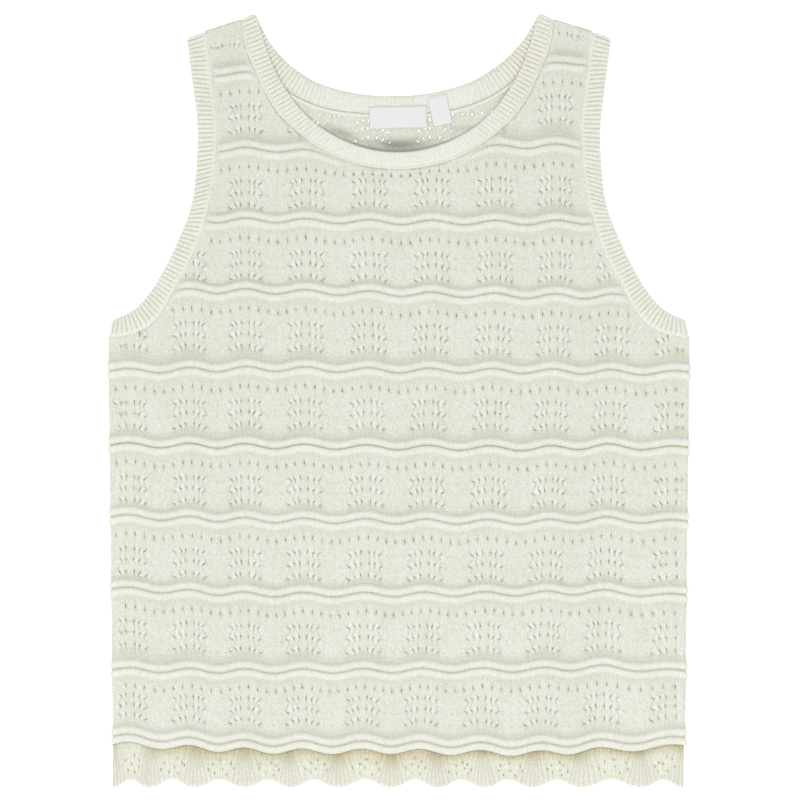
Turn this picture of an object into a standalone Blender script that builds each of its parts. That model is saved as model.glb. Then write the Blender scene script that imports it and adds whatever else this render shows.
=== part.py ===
"""A child's sleeveless knitted lace top, laid flat: +Z up, +Y towards the shoulders, +X across.

The back panel lies on the surface with its inside up, and the front panel lies on it. Wavy double
welts cross both panels, ribbed bands bind the neck and armholes, and a scalloped border ends the hem.
Sizes are in millimetres and become metres where a mesh is made.
"""

import math

import bmesh
import bpy
import numpy as np

MM = 0.001

# Layers, bottom to top.
BACK_WALL = 2.2
LAYER_GAP = 0.3
FRONT_UNDER = BACK_WALL + LAYER_GAP
SEAM_GAP = 0.3
HEM_SEAM_GAP = 0.5
EDGE_ROUND = 2.4
EDGE_LIP = 0.3
BACK_ROUND = 1.0

# The front's rounded shoulder edge: how far in from the fold, and the wall's thickness there.
SHOULDER_EDGE = ((0.0, EDGE_LIP), (0.5, 0.9), (1.8, 1.35))

# The body's width at the underarm and at the hem, and the heights of those two levels.
CHEST_HALF_WIDTH = 167.4
HEM_HALF_WIDTH = 164.6
UNDERARM_Y = 36.5
HEM_Y = -219.0
WELT_SIDE_BULGE = 0.6

# The shoulder fold, from its neck end to its armhole end.
SHOULDER_INNER = (82.8, 223.2)
SHOULDER_OUTER = (122.0, 208.3)
FOLD_ENDS = 4.0
FOLD_INSET = 2.3

NECK_CENTRE_X = -0.9

# Half outlines of the two openings, from the shoulder down: distance from the centre line, height.
# The seam row is where the band meets the panel, and the free row is the band's own edge. A neckline's
# lowest point lies this far to the side of the centre line.
NECK_FRONT = {
    "lean": 0.0,
    "seam": ((89.8, 219.2), (87.6, 203.8), (81.8, 189.5), (76.3, 177.3), (67.8, 164.3), (56.6, 153.6),
             (45.0, 145.2), (30.5, 138.0), (15.0, 134.0), (0.0, 132.8)),
    "free": ((81.8, 223.0), (77.3, 207.8), (72.0, 193.5), (66.8, 183.0), (58.0, 170.2), (48.0, 160.0),
             (37.2, 152.6), (25.2, 147.0), (12.6, 143.5), (0.0, 142.4)),
}
NECK_BACK = {
    "lean": -3.0,
    "seam": ((89.8, 219.2), (82.4, 202.6), (73.2, 189.2), (62.5, 178.8), (48.6, 171.3), (34.5, 167.0),
             (18.0, 165.0), (0.0, 164.6)),
    "free": ((81.8, 223.0), (73.6, 208.0), (64.9, 197.4), (55.2, 189.6), (44.6, 183.4), (31.5, 179.0),
             (16.0, 176.0), (0.0, 175.2)),
}
ARMHOLE = {
    "seam": ((111.8, 212.4), (108.2, 183.5), (105.5, 154.0), (108.6, 119.5), (117.0, 89.8), (128.6, 66.5),
             (139.8, 47.6), (152.0, 39.4), (165.0, 36.6)),
    "free": ((122.2, 208.0), (119.3, 184.5), (116.0, 153.5), (118.7, 116.5), (126.7, 93.0), (137.3, 71.5),
             (147.6, 56.6), (155.6, 50.2), (162.6, 47.0)),
}

# Lace fans: the middle of each, across the body. The welts crest over them.
FAN_X = (-154.7, -120.2, -88.6, -53.5, -16.7, 19.0, 55.8, 90.3, 123.6, 157.6)

# Where the mesh has its columns in a repeat: three over the crest at a fan's middle, two in the trough.
COLUMN_SHARES = (0.0, 0.15, 0.36, 0.64, 0.85)

# Welts from the shoulders down: the height of the groove between the two ridges at the middle, how far
# it rises from the left side to the right, its wave's half height, and its sag in the middle.
WELTS = (
    {"y": 190.4, "rise": 10.0, "wave": 0.9, "sag": 0.0},
    {"y": 145.0, "rise": 2.4, "wave": 1.3, "sag": 0.0},
    {"y": 102.2, "rise": -1.0, "wave": 1.3, "sag": 0.0},
    {"y": 61.0, "rise": -2.0, "wave": 1.4, "sag": 0.0},
    {"y": 17.0, "rise": -0.6, "wave": 1.4, "sag": 0.0},
    {"y": -27.2, "rise": 0.4, "wave": 1.4, "sag": 0.0},
    {"y": -69.6, "rise": 0.0, "wave": 1.4, "sag": 0.6},
    {"y": -111.8, "rise": 0.0, "wave": 1.3, "sag": 1.2},
    {"y": -155.2, "rise": 0.6, "wave": 1.3, "sag": 0.6},
    {"y": -197.6, "rise": -1.4, "wave": 1.7, "sag": 3.0},
)

# Across a welt, from above to below: distance from its groove, and the wall's thickness there.
WELT_PROFILE = (
    {"up": 5.0, "wall": 1.05},
    {"up": 3.8, "wall": 2.3},
    {"up": 1.4, "wall": 2.9},
    {"up": 0.0, "wall": 1.4},
    {"up": -1.4, "wall": 2.8},
    {"up": -3.6, "wall": 2.2},
    {"up": -4.7, "wall": 1.1},
)
LACE_ROW = 0.45
LACE_WALL = 1.35
FAN_SWELL = 0.3

# Ribbed bands.
RIB_PITCH = 2.6
BAND_WALL = 1.75
RIB_HEIGHT = 0.35
FREE_EDGE_THINNER = 0.15
PLAIN_STEP = 20.0

# How far a cutter runs past the folds, where it ends above, and how many points its curve has.
CUT_PAST = 8.0
CUT_TOP_Y = 250.0
CUT_STEPS = 64

# The hem border: the lowest point of each scallop across the body, from one side edge to the other.
SCALLOP_X = (-165.0, -143.8, -117.3, -88.6, -62.1, -35.1, -4.0, 22.4, 48.9, 76.5, 104.7, 139.7, 164.0)
SCALLOP_DEPTH = 4.4
SCALLOP_POINT = 1.2
BORDER_LOW_Y = -223.1
BORDER_WALL = 1.4
BORDER_RIB = 0.45
BORDER_RIBS = 7
BACK_BORDER_STEPS = 10
BORDER_ROWS = (0.0, 0.35, 0.7, 1.0)
BORDER_GATHER = 0.45

# The front neckline stands a little off the back.
NECK_LIFT = 2.4
NECK_LIFT_CENTRE = (-0.9, 140.0)
NECK_LIFT_REACH = (62.0, 34.0)

# Labels at the back of the neck: middle, size and turn.
NECK_LABEL = {"middle": (-0.5, 162.6), "size": (33.2, 12.6), "turn": 1.5}
SIZE_LABEL = {"middle": (23.6, 166.6), "size": (11.0, 17.4), "turn": 12.0}
LABEL_WALL = 1.0

YARN = (0.86, 0.855, 0.78, 1.0)
TAPE = (0.88, 0.88, 0.87, 1.0)


def material(name, colour, roughness):
    """A plain finish of that colour."""
    made = bpy.data.materials.new(name)
    made.use_nodes = True
    shader = made.node_tree.nodes["Principled BSDF"]
    shader.inputs["Base Color"].default_value = colour
    shader.inputs["Roughness"].default_value = roughness
    shader.inputs["Metallic"].default_value = 0.0
    return made


def new_object(name, points, faces, finish):
    """A closed mesh from points in millimetres, with its faces turned outwards."""
    shape = bmesh.new()
    corners = [shape.verts.new([c * MM for c in p]) for p in points]
    for face in faces:
        shape.faces.new([corners[i] for i in face])
    bmesh.ops.recalc_face_normals(shape, faces=shape.faces)
    mesh = bpy.data.meshes.new(name)
    shape.to_mesh(mesh)
    shape.free()
    if finish:
        mesh.materials.append(finish)
    made = bpy.data.objects.new(name, mesh)
    bpy.context.scene.collection.objects.link(made)
    return made


def smooth_line(points, spacing):
    """A Catmull-Rom curve through these points, read at even steps of about this length."""
    points = np.array(points, float)
    ends = np.vstack([2 * points[0] - points[1], points, 2 * points[-1] - points[-2]])
    t = np.linspace(0, 1, 24, endpoint=False)[:, None]
    fine = []
    for a, b, c, d in zip(ends, ends[1:], ends[2:], ends[3:]):
        fine.append(0.5 * (2 * b + (c - a) * t + (2 * a - 5 * b + 4 * c - d) * t**2
                           + (3 * b - a - 3 * c + d) * t**3))
    fine = np.vstack([*fine, points[-1:]])
    length = np.concatenate([[0], np.cumsum(np.linalg.norm(np.diff(fine, axis=0), axis=1))])
    count = max(2, round(length[-1] / spacing) + 1)
    at = np.linspace(0, length[-1], count)
    return np.column_stack([np.interp(at, length, fine[:, i]) for i in (0, 1)])


def resampled(line, count):
    """The same line with this many points, evenly spaced."""
    length = np.concatenate([[0], np.cumsum(np.linalg.norm(np.diff(line, axis=0), axis=1))])
    at = np.linspace(0, length[-1], count)
    return np.column_stack([np.interp(at, length, line[:, i]) for i in (0, 1)])


def trimmed(line, start, end):
    """The line without this length at its start and at its end."""
    length = np.concatenate([[0], np.cumsum(np.linalg.norm(np.diff(line, axis=0), axis=1))])
    at = np.linspace(start, length[-1] - end, len(line))
    return np.column_stack([np.interp(at, length, line[:, i]) for i in (0, 1)])


def side_x(y):
    """Half the body's width at this height."""
    share = np.clip((UNDERARM_Y - y) / (UNDERARM_Y - HEM_Y), 0, 1)
    return CHEST_HALF_WIDTH + (HEM_HALF_WIDTH - CHEST_HALF_WIDTH) * share


def shoulder_y(x):
    """The shoulder fold's height at this distance from the middle, and level past its two ends."""
    (inner_x, inner_y), (outer_x, outer_y) = SHOULDER_INNER, SHOULDER_OUTER
    across = np.clip(np.abs(x), inner_x - FOLD_ENDS, outer_x + FOLD_ENDS)
    return inner_y + (outer_y - inner_y) * (across - inner_x) / (outer_x - inner_x)


def fan_phase(x):
    """Where x lies in the repeat, in turns: a whole number at a fan's middle."""
    first, last = FAN_X[0], FAN_X[-1]
    step = (last - first) / (len(FAN_X) - 1)
    middles = (first - step, *FAN_X, last + step)
    return np.interp(x, middles, np.arange(-1.0, len(FAN_X) + 1.0))


def welt_y(welt, x):
    """The height of this welt's groove."""
    across = x / CHEST_HALF_WIDTH
    arch = welt["sag"] * (1 - across**2)
    return welt["y"] + welt["rise"] * across / 2 - arch + welt["wave"] * np.cos(2 * np.pi * fan_phase(x))


def lift(x, y):
    """How far the front stands off the back round the neckline."""
    across = (x - NECK_LIFT_CENTRE[0]) / NECK_LIFT_REACH[0]
    along = (y - NECK_LIFT_CENTRE[1]) / NECK_LIFT_REACH[1]
    away = np.clip(np.sqrt(across**2 + along**2), 0, 1)
    return NECK_LIFT * (0.5 + 0.5 * np.cos(np.pi * away))


def panel_columns():
    """Places across the body between the side edges: the same few in each repeat."""
    places = [turn + share for turn in range(-1, len(FAN_X) + 1) for share in COLUMN_SHARES]
    across = np.interp(places, np.arange(len(FAN_X)), FAN_X, left=-np.inf, right=np.inf)
    return [x for x in across if abs(x) < HEM_HALF_WIDTH - EDGE_ROUND - 1.0]


def between(above, below, share):
    """A row this share of the way down from one row to another."""
    return lambda x: above(x) * (1 - share) + below(x) * share


def beside(welt, up):
    """A row that follows this welt's groove, this far above it."""
    return lambda x: welt_y(welt, x) + up


def front_rows():
    """The front's rows from the shoulder down: a function of x for its height, the wall there, and how far
    its ends stand out at the sides."""
    over, under = WELT_PROFILE[0]["up"], WELT_PROFILE[-1]["up"]
    rows = [(between(shoulder_y, lambda x: shoulder_y(x) - 1, inset), wall, 0.0) for inset, wall in SHOULDER_EDGE]
    above = shoulder_y
    for welt in WELTS:
        rows.append((between(above, beside(welt, over), LACE_ROW), LACE_WALL + FAN_SWELL, 0.0))
        for step in WELT_PROFILE:
            bulge = WELT_SIDE_BULGE if step["wall"] > 2.0 else 0.0
            rows.append((beside(welt, step["up"]), step["wall"], bulge))
        above = beside(welt, under)
    return rows


def front_grid():
    """The front's points: x, y, and the heights of its outer side and of its underside."""
    inside = panel_columns()
    ends = np.array([0.0, EDGE_ROUND * 0.3, EDGE_ROUND])
    plain = np.ones(len(inside))
    grid = []
    for line, wall, bulge in front_rows():
        reach = side_x(line(CHEST_HALF_WIDTH)) + bulge
        rounded = np.array([EDGE_LIP / wall, 0.72, 1.0])
        xs = np.concatenate([ends - reach, inside, (reach - ends)[::-1]])
        share = np.concatenate([rounded, plain, rounded[::-1]])
        ys = line(xs)
        swell = FAN_SWELL * np.cos(2 * np.pi * fan_phase(xs)) if wall == LACE_WALL + FAN_SWELL else 0.0
        under = FRONT_UNDER + lift(xs, ys)
        grid.append(np.column_stack([xs, ys, under + (wall + swell) * share, under]))
    return np.array(grid)


def slab(name, grid, coarse_rows, coarse_columns, finish):
    """A wall from a grid of x, y, outer z and inner z. Its inner side has only the coarse rows and columns
    inside, and every point round its edge."""
    rows, columns = grid.shape[:2]
    points, faces = [], []
    outer = np.arange(rows * columns).reshape(rows, columns)
    points += [tuple(p[[0, 1, 2]]) for p in grid.reshape(-1, 4)]
    inner = {}

    def inner_point(r, c):
        if (r, c) not in inner:
            inner[r, c] = len(points)
            points.append(tuple(grid[r, c, [0, 1, 3]]))
        return inner[r, c]

    for r in range(rows - 1):
        for c in range(columns - 1):
            faces.append((outer[r, c], outer[r, c + 1], outer[r + 1, c + 1], outer[r + 1, c]))
    for r0, r1 in zip(coarse_rows, coarse_rows[1:]):
        for c0, c1 in zip(coarse_columns, coarse_columns[1:]):
            top = range(c0, c1) if r0 == 0 else (c0,)
            right = range(r0, r1) if c1 == columns - 1 else (r0,)
            bottom = range(c1, c0, -1) if r1 == rows - 1 else (c1,)
            left = range(r1, r0, -1) if c0 == 0 else (r1,)
            loop = ([(r0, c) for c in top] + [(r, c1) for r in right]
                    + [(r1, c) for c in bottom] + [(r, c0) for r in left])
            faces.append([inner_point(*p) for p in loop])
    rim = ([(0, c) for c in range(columns)] + [(r, columns - 1) for r in range(1, rows)]
           + [(rows - 1, c) for c in range(columns - 2, -1, -1)] + [(r, 0) for r in range(rows - 2, 0, -1)])
    for a, b in zip(rim, rim[1:] + rim[:1]):
        faces.append((outer[a], outer[b], inner_point(*b), inner_point(*a)))
    return new_object(name, points, faces, finish)


def underside_rows(grid):
    """The rows that the front's plain underside keeps: close together where it lifts, far apart elsewhere."""
    middle_y = grid[:, grid.shape[1] // 2, 1]
    lifted = np.abs(middle_y - NECK_LIFT_CENTRE[1]) < NECK_LIFT_REACH[1]
    kept = [i for i in range(len(grid)) if i % (4 if lifted[i] else 16) == 0]
    return sorted({*kept, len(grid) - 1})


def spread_indices(count, step):
    """0, about every step-th index, and the last."""
    return [round(i) for i in np.linspace(0, count - 1, max(2, round((count - 1) / step) + 1))]


def prism(name, outline):
    """A tall upright cutter with this outline."""
    low, high = -5.0, 20.0
    n = len(outline)
    points = [(x, y, z) for z in (low, high) for x, y in outline]
    faces = [tuple(range(n)), tuple(range(n, 2 * n))]
    faces += [(i, (i + 1) % n, n + (i + 1) % n, n + i) for i in range(n)]
    made = new_object(name, points, faces, None)
    made.hide_render = True
    made.display_type = "WIRE"
    return made


def across_fold(seam_end, free_end, towards):
    """The level direction at right angles to the fold's line, on the side of this direction."""
    along = free_end - seam_end
    normal = np.array((along[1], -along[0])) / np.linalg.norm(along)
    return normal if normal @ np.array(towards) > 0 else -normal


def neck_edges(neck):
    """The seam and the free edge from the left shoulder round the neck to the right one, short of the folds."""
    edges = []
    for half in (np.array(neck["seam"]), np.array(neck["free"])):
        depth = (half[0, 1] - half[:, 1]) / (half[0, 1] - half[-1, 1])
        centre = np.column_stack([NECK_CENTRE_X + neck["lean"] * depth, np.zeros(len(half))])
        whole = np.vstack([half * (-1, 1) + centre, (half + centre)[-2::-1]])
        edges.append(trimmed(smooth_line(whole, 1.0), FOLD_INSET, FOLD_INSET))
    return edges


def armhole_edges(side):
    """The seam and the free edge from the shoulder down to the side; side is -1 at the left, 1 at the right."""
    halves = (np.array(ARMHOLE[edge]) * (side, 1) for edge in ("seam", "free"))
    return [trimmed(smooth_line(half, 1.0), FOLD_INSET, 0.0) for half in halves]


def neck_cutter(name, neck):
    """What the neck opening takes from a panel."""
    seam, free = neck_edges(neck)
    first, last = (seam[i] + across_fold(seam[i], free[i], (0, 1)) * CUT_PAST for i in (0, -1))
    line = [first, *resampled(seam, CUT_STEPS), last]
    return prism(name, line + [(last[0], CUT_TOP_Y), (first[0], CUT_TOP_Y)])


def armhole_cutter(name, side):
    """What an armhole takes from a panel."""
    seam, free = armhole_edges(side)
    first = seam[0] + across_fold(seam[0], free[0], (0, 1)) * CUT_PAST
    last = seam[-1] + across_fold(seam[-1], free[-1], (side, 0)) * CUT_PAST
    line = [first, *resampled(seam, CUT_STEPS), last]
    return prism(name, line + [(last[0], CUT_TOP_Y), (first[0], CUT_TOP_Y)])


def cut(panel, cutters):
    """Takes each cutter's shape out of the panel."""
    for cutter in cutters:
        step = panel.modifiers.new("cut " + cutter.name, "BOOLEAN")
        step.operation = "DIFFERENCE"
        step.solver = "EXACT"
        step.object = cutter


def back_grid():
    """The back panel's points: it lies on the surface, and its side edges are rounded up off it."""
    rows = [shoulder_y, *[beside(welt, 0.0) for welt in WELTS[:-1]], beside(WELTS[-1], WELT_PROFILE[-1]["up"])]
    inside = panel_columns()
    grid = []
    for line in rows:
        reach = side_x(line(CHEST_HALF_WIDTH))
        xs = np.array([-reach, BACK_ROUND - reach, *inside, reach - BACK_ROUND, reach])
        low = np.zeros(len(xs))
        low[[0, -1]] = BACK_ROUND
        grid.append(np.column_stack([xs, line(xs), low, np.full(len(xs), BACK_WALL)]))
    return np.array(grid)


def band_stations(seam, free, ribs):
    """Matched points along a band's seam and free edge, two to each rib, and how high each stands."""
    middle = (resampled(seam, 200) + resampled(free, 200)) / 2
    length = np.linalg.norm(np.diff(middle, axis=0), axis=1).sum()
    count = 2 * round(length / (RIB_PITCH if ribs else PLAIN_STEP)) + 1
    seam, free = resampled(seam, count), resampled(free, count)
    inward = (free - seam) / np.linalg.norm(free - seam, axis=1)[:, None]
    crest = np.arange(count) % 2 if ribs else np.ones(count)
    return seam + inward * SEAM_GAP, free, crest


def layer_sections(stations, top, front):
    """The band's sections where it lies flat, each as seam and free points of its outer and inner side."""
    seam, free, crest = stations
    sections = []
    for s, f, c in zip(seam, free, crest):
        high = top - RIB_HEIGHT * (1 - c)
        rise_s, rise_f = (lift(*s), lift(*f)) if front else (0.0, 0.0)
        under = FRONT_UNDER if front else 0.0
        outer = ((*s, high + rise_s), (*f, high - FREE_EDGE_THINNER + rise_f))
        inner = ((*s, under + rise_s), (*f, under + rise_f))
        sections.append((outer, inner) if front else (inner, outer))
    return sections


def fold_sections(front_end, back_end, towards, top):
    """The turn from the front layer down to the back layer, round the fold at a shoulder or side. Each end
    is the band's seam and free points there, and the fold bulges to the side of this direction."""
    axis_z = BACK_WALL + LAYER_GAP / 2
    sections = []
    for turn in (30, 90, 150):
        angle = math.radians(turn)
        share = turn / 180
        radius = (top - axis_z) * (1 - share) + axis_z * share
        below = min(1.0, 2 * share)
        ends = [front * (1 - below) + back * below for front, back in zip(front_end, back_end)]
        outward = across_fold(*ends, towards)
        section = []
        for r in (radius, LAYER_GAP / 2):
            z = axis_z + r * math.cos(angle)
            section.append(tuple((*(end + outward * r * math.sin(angle)), z) for end in ends))
        sections.append(tuple(section))
    return sections


def ring(name, sections, finish):
    """A closed band from its sections, which follow each other round."""
    points, faces = [], []
    for (outer_seam, outer_free), (inner_seam, inner_free) in sections:
        points += [outer_seam, outer_free, inner_free, inner_seam]
    count = len(sections)
    for i in range(count):
        j = (i + 1) % count
        for k in range(4):
            m = (k + 1) % 4
            faces.append((4 * i + k, 4 * j + k, 4 * j + m, 4 * i + m))
    return new_object(name, points, faces, finish)


def band(name, front, back, back_ribs, first_way, last_way, finish):
    """A ribbed band in one loop: along the front, down round the last fold, back, and up round the first."""
    top = FRONT_UNDER + BAND_WALL + RIB_HEIGHT
    front = band_stations(*front, True)
    back = band_stations(*back, back_ribs)
    sections = layer_sections(front, top, True)
    sections += fold_sections((front[0][-1], front[1][-1]), (back[0][-1], back[1][-1]), last_way, top)
    sections += layer_sections(back, BACK_WALL, False)[::-1]
    sections += fold_sections((front[0][0], front[1][0]), (back[0][0], back[1][0]), first_way, top)[::-1]
    return ring(name, sections, finish)


def neck_band(finish):
    return band("neck_band", neck_edges(NECK_FRONT), neck_edges(NECK_BACK), True, (0, 1), (0, 1), finish)


def armhole_band(name, side, finish):
    edges = armhole_edges(side)
    return band(name, edges, edges, False, (0, 1), (side, 0), finish)


def scallop_y(x):
    """The border's lower edge."""
    turn = np.interp(x, SCALLOP_X, np.arange(len(SCALLOP_X)))
    return BORDER_LOW_Y + SCALLOP_DEPTH * (0.5 - 0.5 * np.cos(2 * np.pi * turn)) ** SCALLOP_POINT


def border_top_y(x, panel_edge):
    """The border's upper edge, just under the panel's own lower edge."""
    return np.interp(x, panel_edge[:, 0], panel_edge[:, 1]) - HEM_SEAM_GAP


def border_columns(front):
    """How many steps across a scallop: two to a rib on the front, and enough for the outline on the back."""
    return 2 * BORDER_RIBS if front else BACK_BORDER_STEPS


def border_grid(panel_edge, front):
    """The border's points. On the front, ribs fan out from above the middle of each scallop to its edge."""
    shares = BORDER_ROWS if front else (0.0, 1.0)
    scallops = len(SCALLOP_X) - 1
    turn = np.linspace(0, scallops, scallops * border_columns(front) + 1)
    rim = np.interp(turn, np.arange(scallops + 1), SCALLOP_X)
    middle = np.interp(np.round(turn), np.arange(scallops + 1), SCALLOP_X)
    from_joint = 0.5 - np.abs(turn - np.round(turn))
    crest = np.arange(len(rim)) % 2
    grid = []
    for share in shares:
        gather = BORDER_GATHER * (1 - share) * np.clip(5 * from_joint, 0, 1)
        xs = rim + (middle - rim) * gather
        xs[[0, -1]] = rim[[0, -1]]
        ys = border_top_y(xs, panel_edge) * (1 - share) + scallop_y(rim) * share
        low = np.full(len(xs), FRONT_UNDER if front else 0.0)
        rib = BORDER_RIB * crest * min(1.0, 0.3 + share) if front else 0.0
        grid.append(np.column_stack([xs, ys, low + BORDER_WALL + rib, low]))
    return np.array(grid)


def border(name, panel_edge, front, finish):
    grid = border_grid(panel_edge, front)
    return slab(name, grid, [0, len(grid) - 1], spread_indices(grid.shape[1], border_columns(front)), finish)


def label(name, place, finish):
    """A flat sewn-in tape label over the back of the neck."""
    width, height = place["size"]
    angle = math.radians(place["turn"])
    low = FRONT_UNDER
    points = []
    for z in (low, low + LABEL_WALL):
        for u, v in ((-0.5, -0.5), (0.5, -0.5), (0.5, 0.5), (-0.5, 0.5)):
            x, y = u * width, v * height
            points.append((place["middle"][0] + x * math.cos(angle) - y * math.sin(angle),
                           place["middle"][1] + x * math.sin(angle) + y * math.cos(angle), z))
    faces = [(3, 2, 1, 0), (4, 5, 6, 7)] + [(i, (i + 1) % 4, 4 + (i + 1) % 4, 4 + i) for i in range(4)]
    return new_object(name, points, faces, finish)


def main():
    for old in list(bpy.data.objects):
        bpy.data.objects.remove(old)
    knit = material("ivory_knit", YARN, 0.85)
    rib = material("ivory_rib", YARN, 0.8)
    tape = material("label_tape", TAPE, 0.6)

    armholes = [armhole_cutter("cut_left_armhole", -1), armhole_cutter("cut_right_armhole", 1)]
    front = front_grid()
    panel = slab("front_panel", front, underside_rows(front), spread_indices(front.shape[1], 3), knit)
    cut(panel, [neck_cutter("cut_front_neck", NECK_FRONT), *armholes])

    back = back_grid()
    panel = slab("back_panel", back, list(range(len(back))), spread_indices(back.shape[1], 4), knit)
    cut(panel, [neck_cutter("cut_back_neck", NECK_BACK), *armholes])

    neck_band(rib)
    armhole_band("armhole_band_left", -1, rib)
    armhole_band("armhole_band_right", 1, rib)

    edge = front[-1][:, :2]
    border("hem_border_front", edge, True, knit)
    border("hem_border_back", back[-1][:, :2], False, knit)
    label("neck_label", NECK_LABEL, tape)
    label("size_label", SIZE_LABEL, tape)


main()
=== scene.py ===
"""The looks of a child's sleeveless knitted lace top, laid flat: +Z up, +Y towards the shoulders.

Both panels are thin knitted walls with real eyelets and rolled double welts. Ribbed bands bind the
neck and armholes, and scalloped fan borders end the hem. Sizes are in millimetres, as in part.py.
"""

import math

import bpy
import numpy as np
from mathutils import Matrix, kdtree


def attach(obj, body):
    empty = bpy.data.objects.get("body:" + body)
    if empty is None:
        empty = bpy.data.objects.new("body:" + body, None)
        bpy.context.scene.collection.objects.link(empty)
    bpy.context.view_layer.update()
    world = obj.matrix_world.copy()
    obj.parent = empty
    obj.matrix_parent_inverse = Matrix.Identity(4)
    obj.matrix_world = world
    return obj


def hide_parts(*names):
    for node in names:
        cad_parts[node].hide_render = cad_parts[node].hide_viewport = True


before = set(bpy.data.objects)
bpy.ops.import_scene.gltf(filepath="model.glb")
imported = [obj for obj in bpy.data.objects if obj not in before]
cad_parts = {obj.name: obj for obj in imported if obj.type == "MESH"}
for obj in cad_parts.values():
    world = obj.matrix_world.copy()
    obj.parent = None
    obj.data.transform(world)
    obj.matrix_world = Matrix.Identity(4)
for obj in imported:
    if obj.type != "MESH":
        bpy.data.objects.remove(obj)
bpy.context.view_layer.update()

MM = 0.001
BODY = "root"

# Layers and lines, as in part.py.
BACK_WALL = 2.2
LAYER_GAP = 0.3
FRONT_UNDER = BACK_WALL + LAYER_GAP
CHEST_HALF_WIDTH = 167.4
HEM_HALF_WIDTH = 164.6
UNDERARM_Y = 36.5
HEM_Y = -219.0
SHOULDER_INNER = (82.8, 223.2)
SHOULDER_OUTER = (122.0, 208.3)
FOLD_ENDS = 4.0
FOLD_INSET = 2.3
NECK_CENTRE_X = -0.9
NECK_FRONT = {
    "lean": 0.0,
    "seam": ((89.8, 219.2), (87.6, 203.8), (81.8, 189.5), (76.3, 177.3), (67.8, 164.3), (56.6, 153.6),
             (45.0, 145.2), (30.5, 138.0), (15.0, 134.0), (0.0, 132.8)),
    "free": ((81.8, 223.0), (77.3, 207.8), (72.0, 193.5), (66.8, 183.0), (58.0, 170.2), (48.0, 160.0),
             (37.2, 152.6), (25.2, 147.0), (12.6, 143.5), (0.0, 142.4)),
}
NECK_BACK = {
    "lean": -3.0,
    "seam": ((89.8, 219.2), (82.4, 202.6), (73.2, 189.2), (62.5, 178.8), (48.6, 171.3), (34.5, 167.0),
             (18.0, 165.0), (0.0, 164.6)),
    "free": ((81.8, 223.0), (73.6, 208.0), (64.9, 197.4), (55.2, 189.6), (44.6, 183.4), (31.5, 179.0),
             (16.0, 176.0), (0.0, 175.2)),
}
ARMHOLE = {
    "seam": ((111.8, 212.4), (108.2, 183.5), (105.5, 154.0), (108.6, 119.5), (117.0, 89.8), (128.6, 66.5),
             (139.8, 47.6), (152.0, 39.4), (165.0, 36.6)),
    "free": ((122.2, 208.0), (119.3, 184.5), (116.0, 153.5), (118.7, 116.5), (126.7, 93.0), (137.3, 71.5),
             (147.6, 56.6), (155.6, 50.2), (162.6, 47.0)),
}
FAN_X = (-154.7, -120.2, -88.6, -53.5, -16.7, 19.0, 55.8, 90.3, 123.6, 157.6)
WELTS = (
    {"y": 190.4, "rise": 10.0, "wave": 0.9, "sag": 0.0, "bend": (0.0, 0.0, 0.0, 0.0, 0.0, 0.0)},
    {"y": 145.0, "rise": 2.4, "wave": 1.3, "sag": 0.0, "bend": (0.0, -0.4, 0.0, 0.4, 0.0, 0.0)},
    {"y": 102.2, "rise": -1.0, "wave": 1.3, "sag": 0.0, "bend": (0.0, 1.0, 0.0, 0.0, 0.8, 0.0)},
    {"y": 61.0, "rise": -2.0, "wave": 1.4, "sag": 0.0, "bend": (0.8, 1.1, 0.0, -0.8, -0.6, 0.0)},
    {"y": 17.0, "rise": -0.6, "wave": 1.4, "sag": 0.0, "bend": (-0.6, 0.9, 0.0, -0.2, -0.6, -1.2)},
    {"y": -27.2, "rise": 0.4, "wave": 1.4, "sag": 0.0, "bend": (1.5, 0.8, 0.0, -0.7, 0.6, -0.8)},
    {"y": -69.6, "rise": 0.0, "wave": 1.4, "sag": 0.6, "bend": (2.5, 1.0, 0.5, 0.0, 1.5, -0.6)},
    {"y": -111.8, "rise": 0.0, "wave": 1.3, "sag": 1.2, "bend": (3.3, 0.9, 1.3, 1.6, 2.2, -0.8)},
    {"y": -155.2, "rise": 0.6, "wave": 1.3, "sag": 0.6, "bend": (0.5, 0.0, 0.3, 0.5, 1.9, -1.2)},
    {"y": -197.6, "rise": -1.4, "wave": 1.6, "sag": 3.0, "bend": (3.9, 2.4, 3.2, 1.7, 3.2, 3.7)},
)
# Where each welt's bends are given: there it lies this much higher than its even line.
BEND_AT = (-160.0, -80.0, 0.0, 80.0, 120.0, 160.0)
WELT_END = -4.7
WELT_SIDE_BULGE = 1.3
RIDGE_MIDDLE = 2.6
RIDGE_HALF = 2.4
RIB_PITCH = 2.6
BAND_TOP = FRONT_UNDER + 2.1
SCALLOP_X = (-165.0, -143.8, -117.3, -88.6, -62.1, -35.1, -4.0, 22.4, 48.9, 76.5, 104.7, 139.7, 164.0)
SCALLOP_DEPTH = 4.4
SCALLOP_POINT = 1.2
BORDER_LOW_Y = -223.1
NECK_LIFT = 2.4
NECK_LIFT_CENTRE = (-0.9, 140.0)
NECK_LIFT_REACH = (62.0, 34.0)
NECK_LABEL = {"middle": (-0.5, 162.6), "size": (33.2, 12.6), "turn": 1.5}
SIZE_LABEL = {"middle": (23.6, 166.6), "size": (11.0, 17.4), "turn": 12.0}
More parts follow.
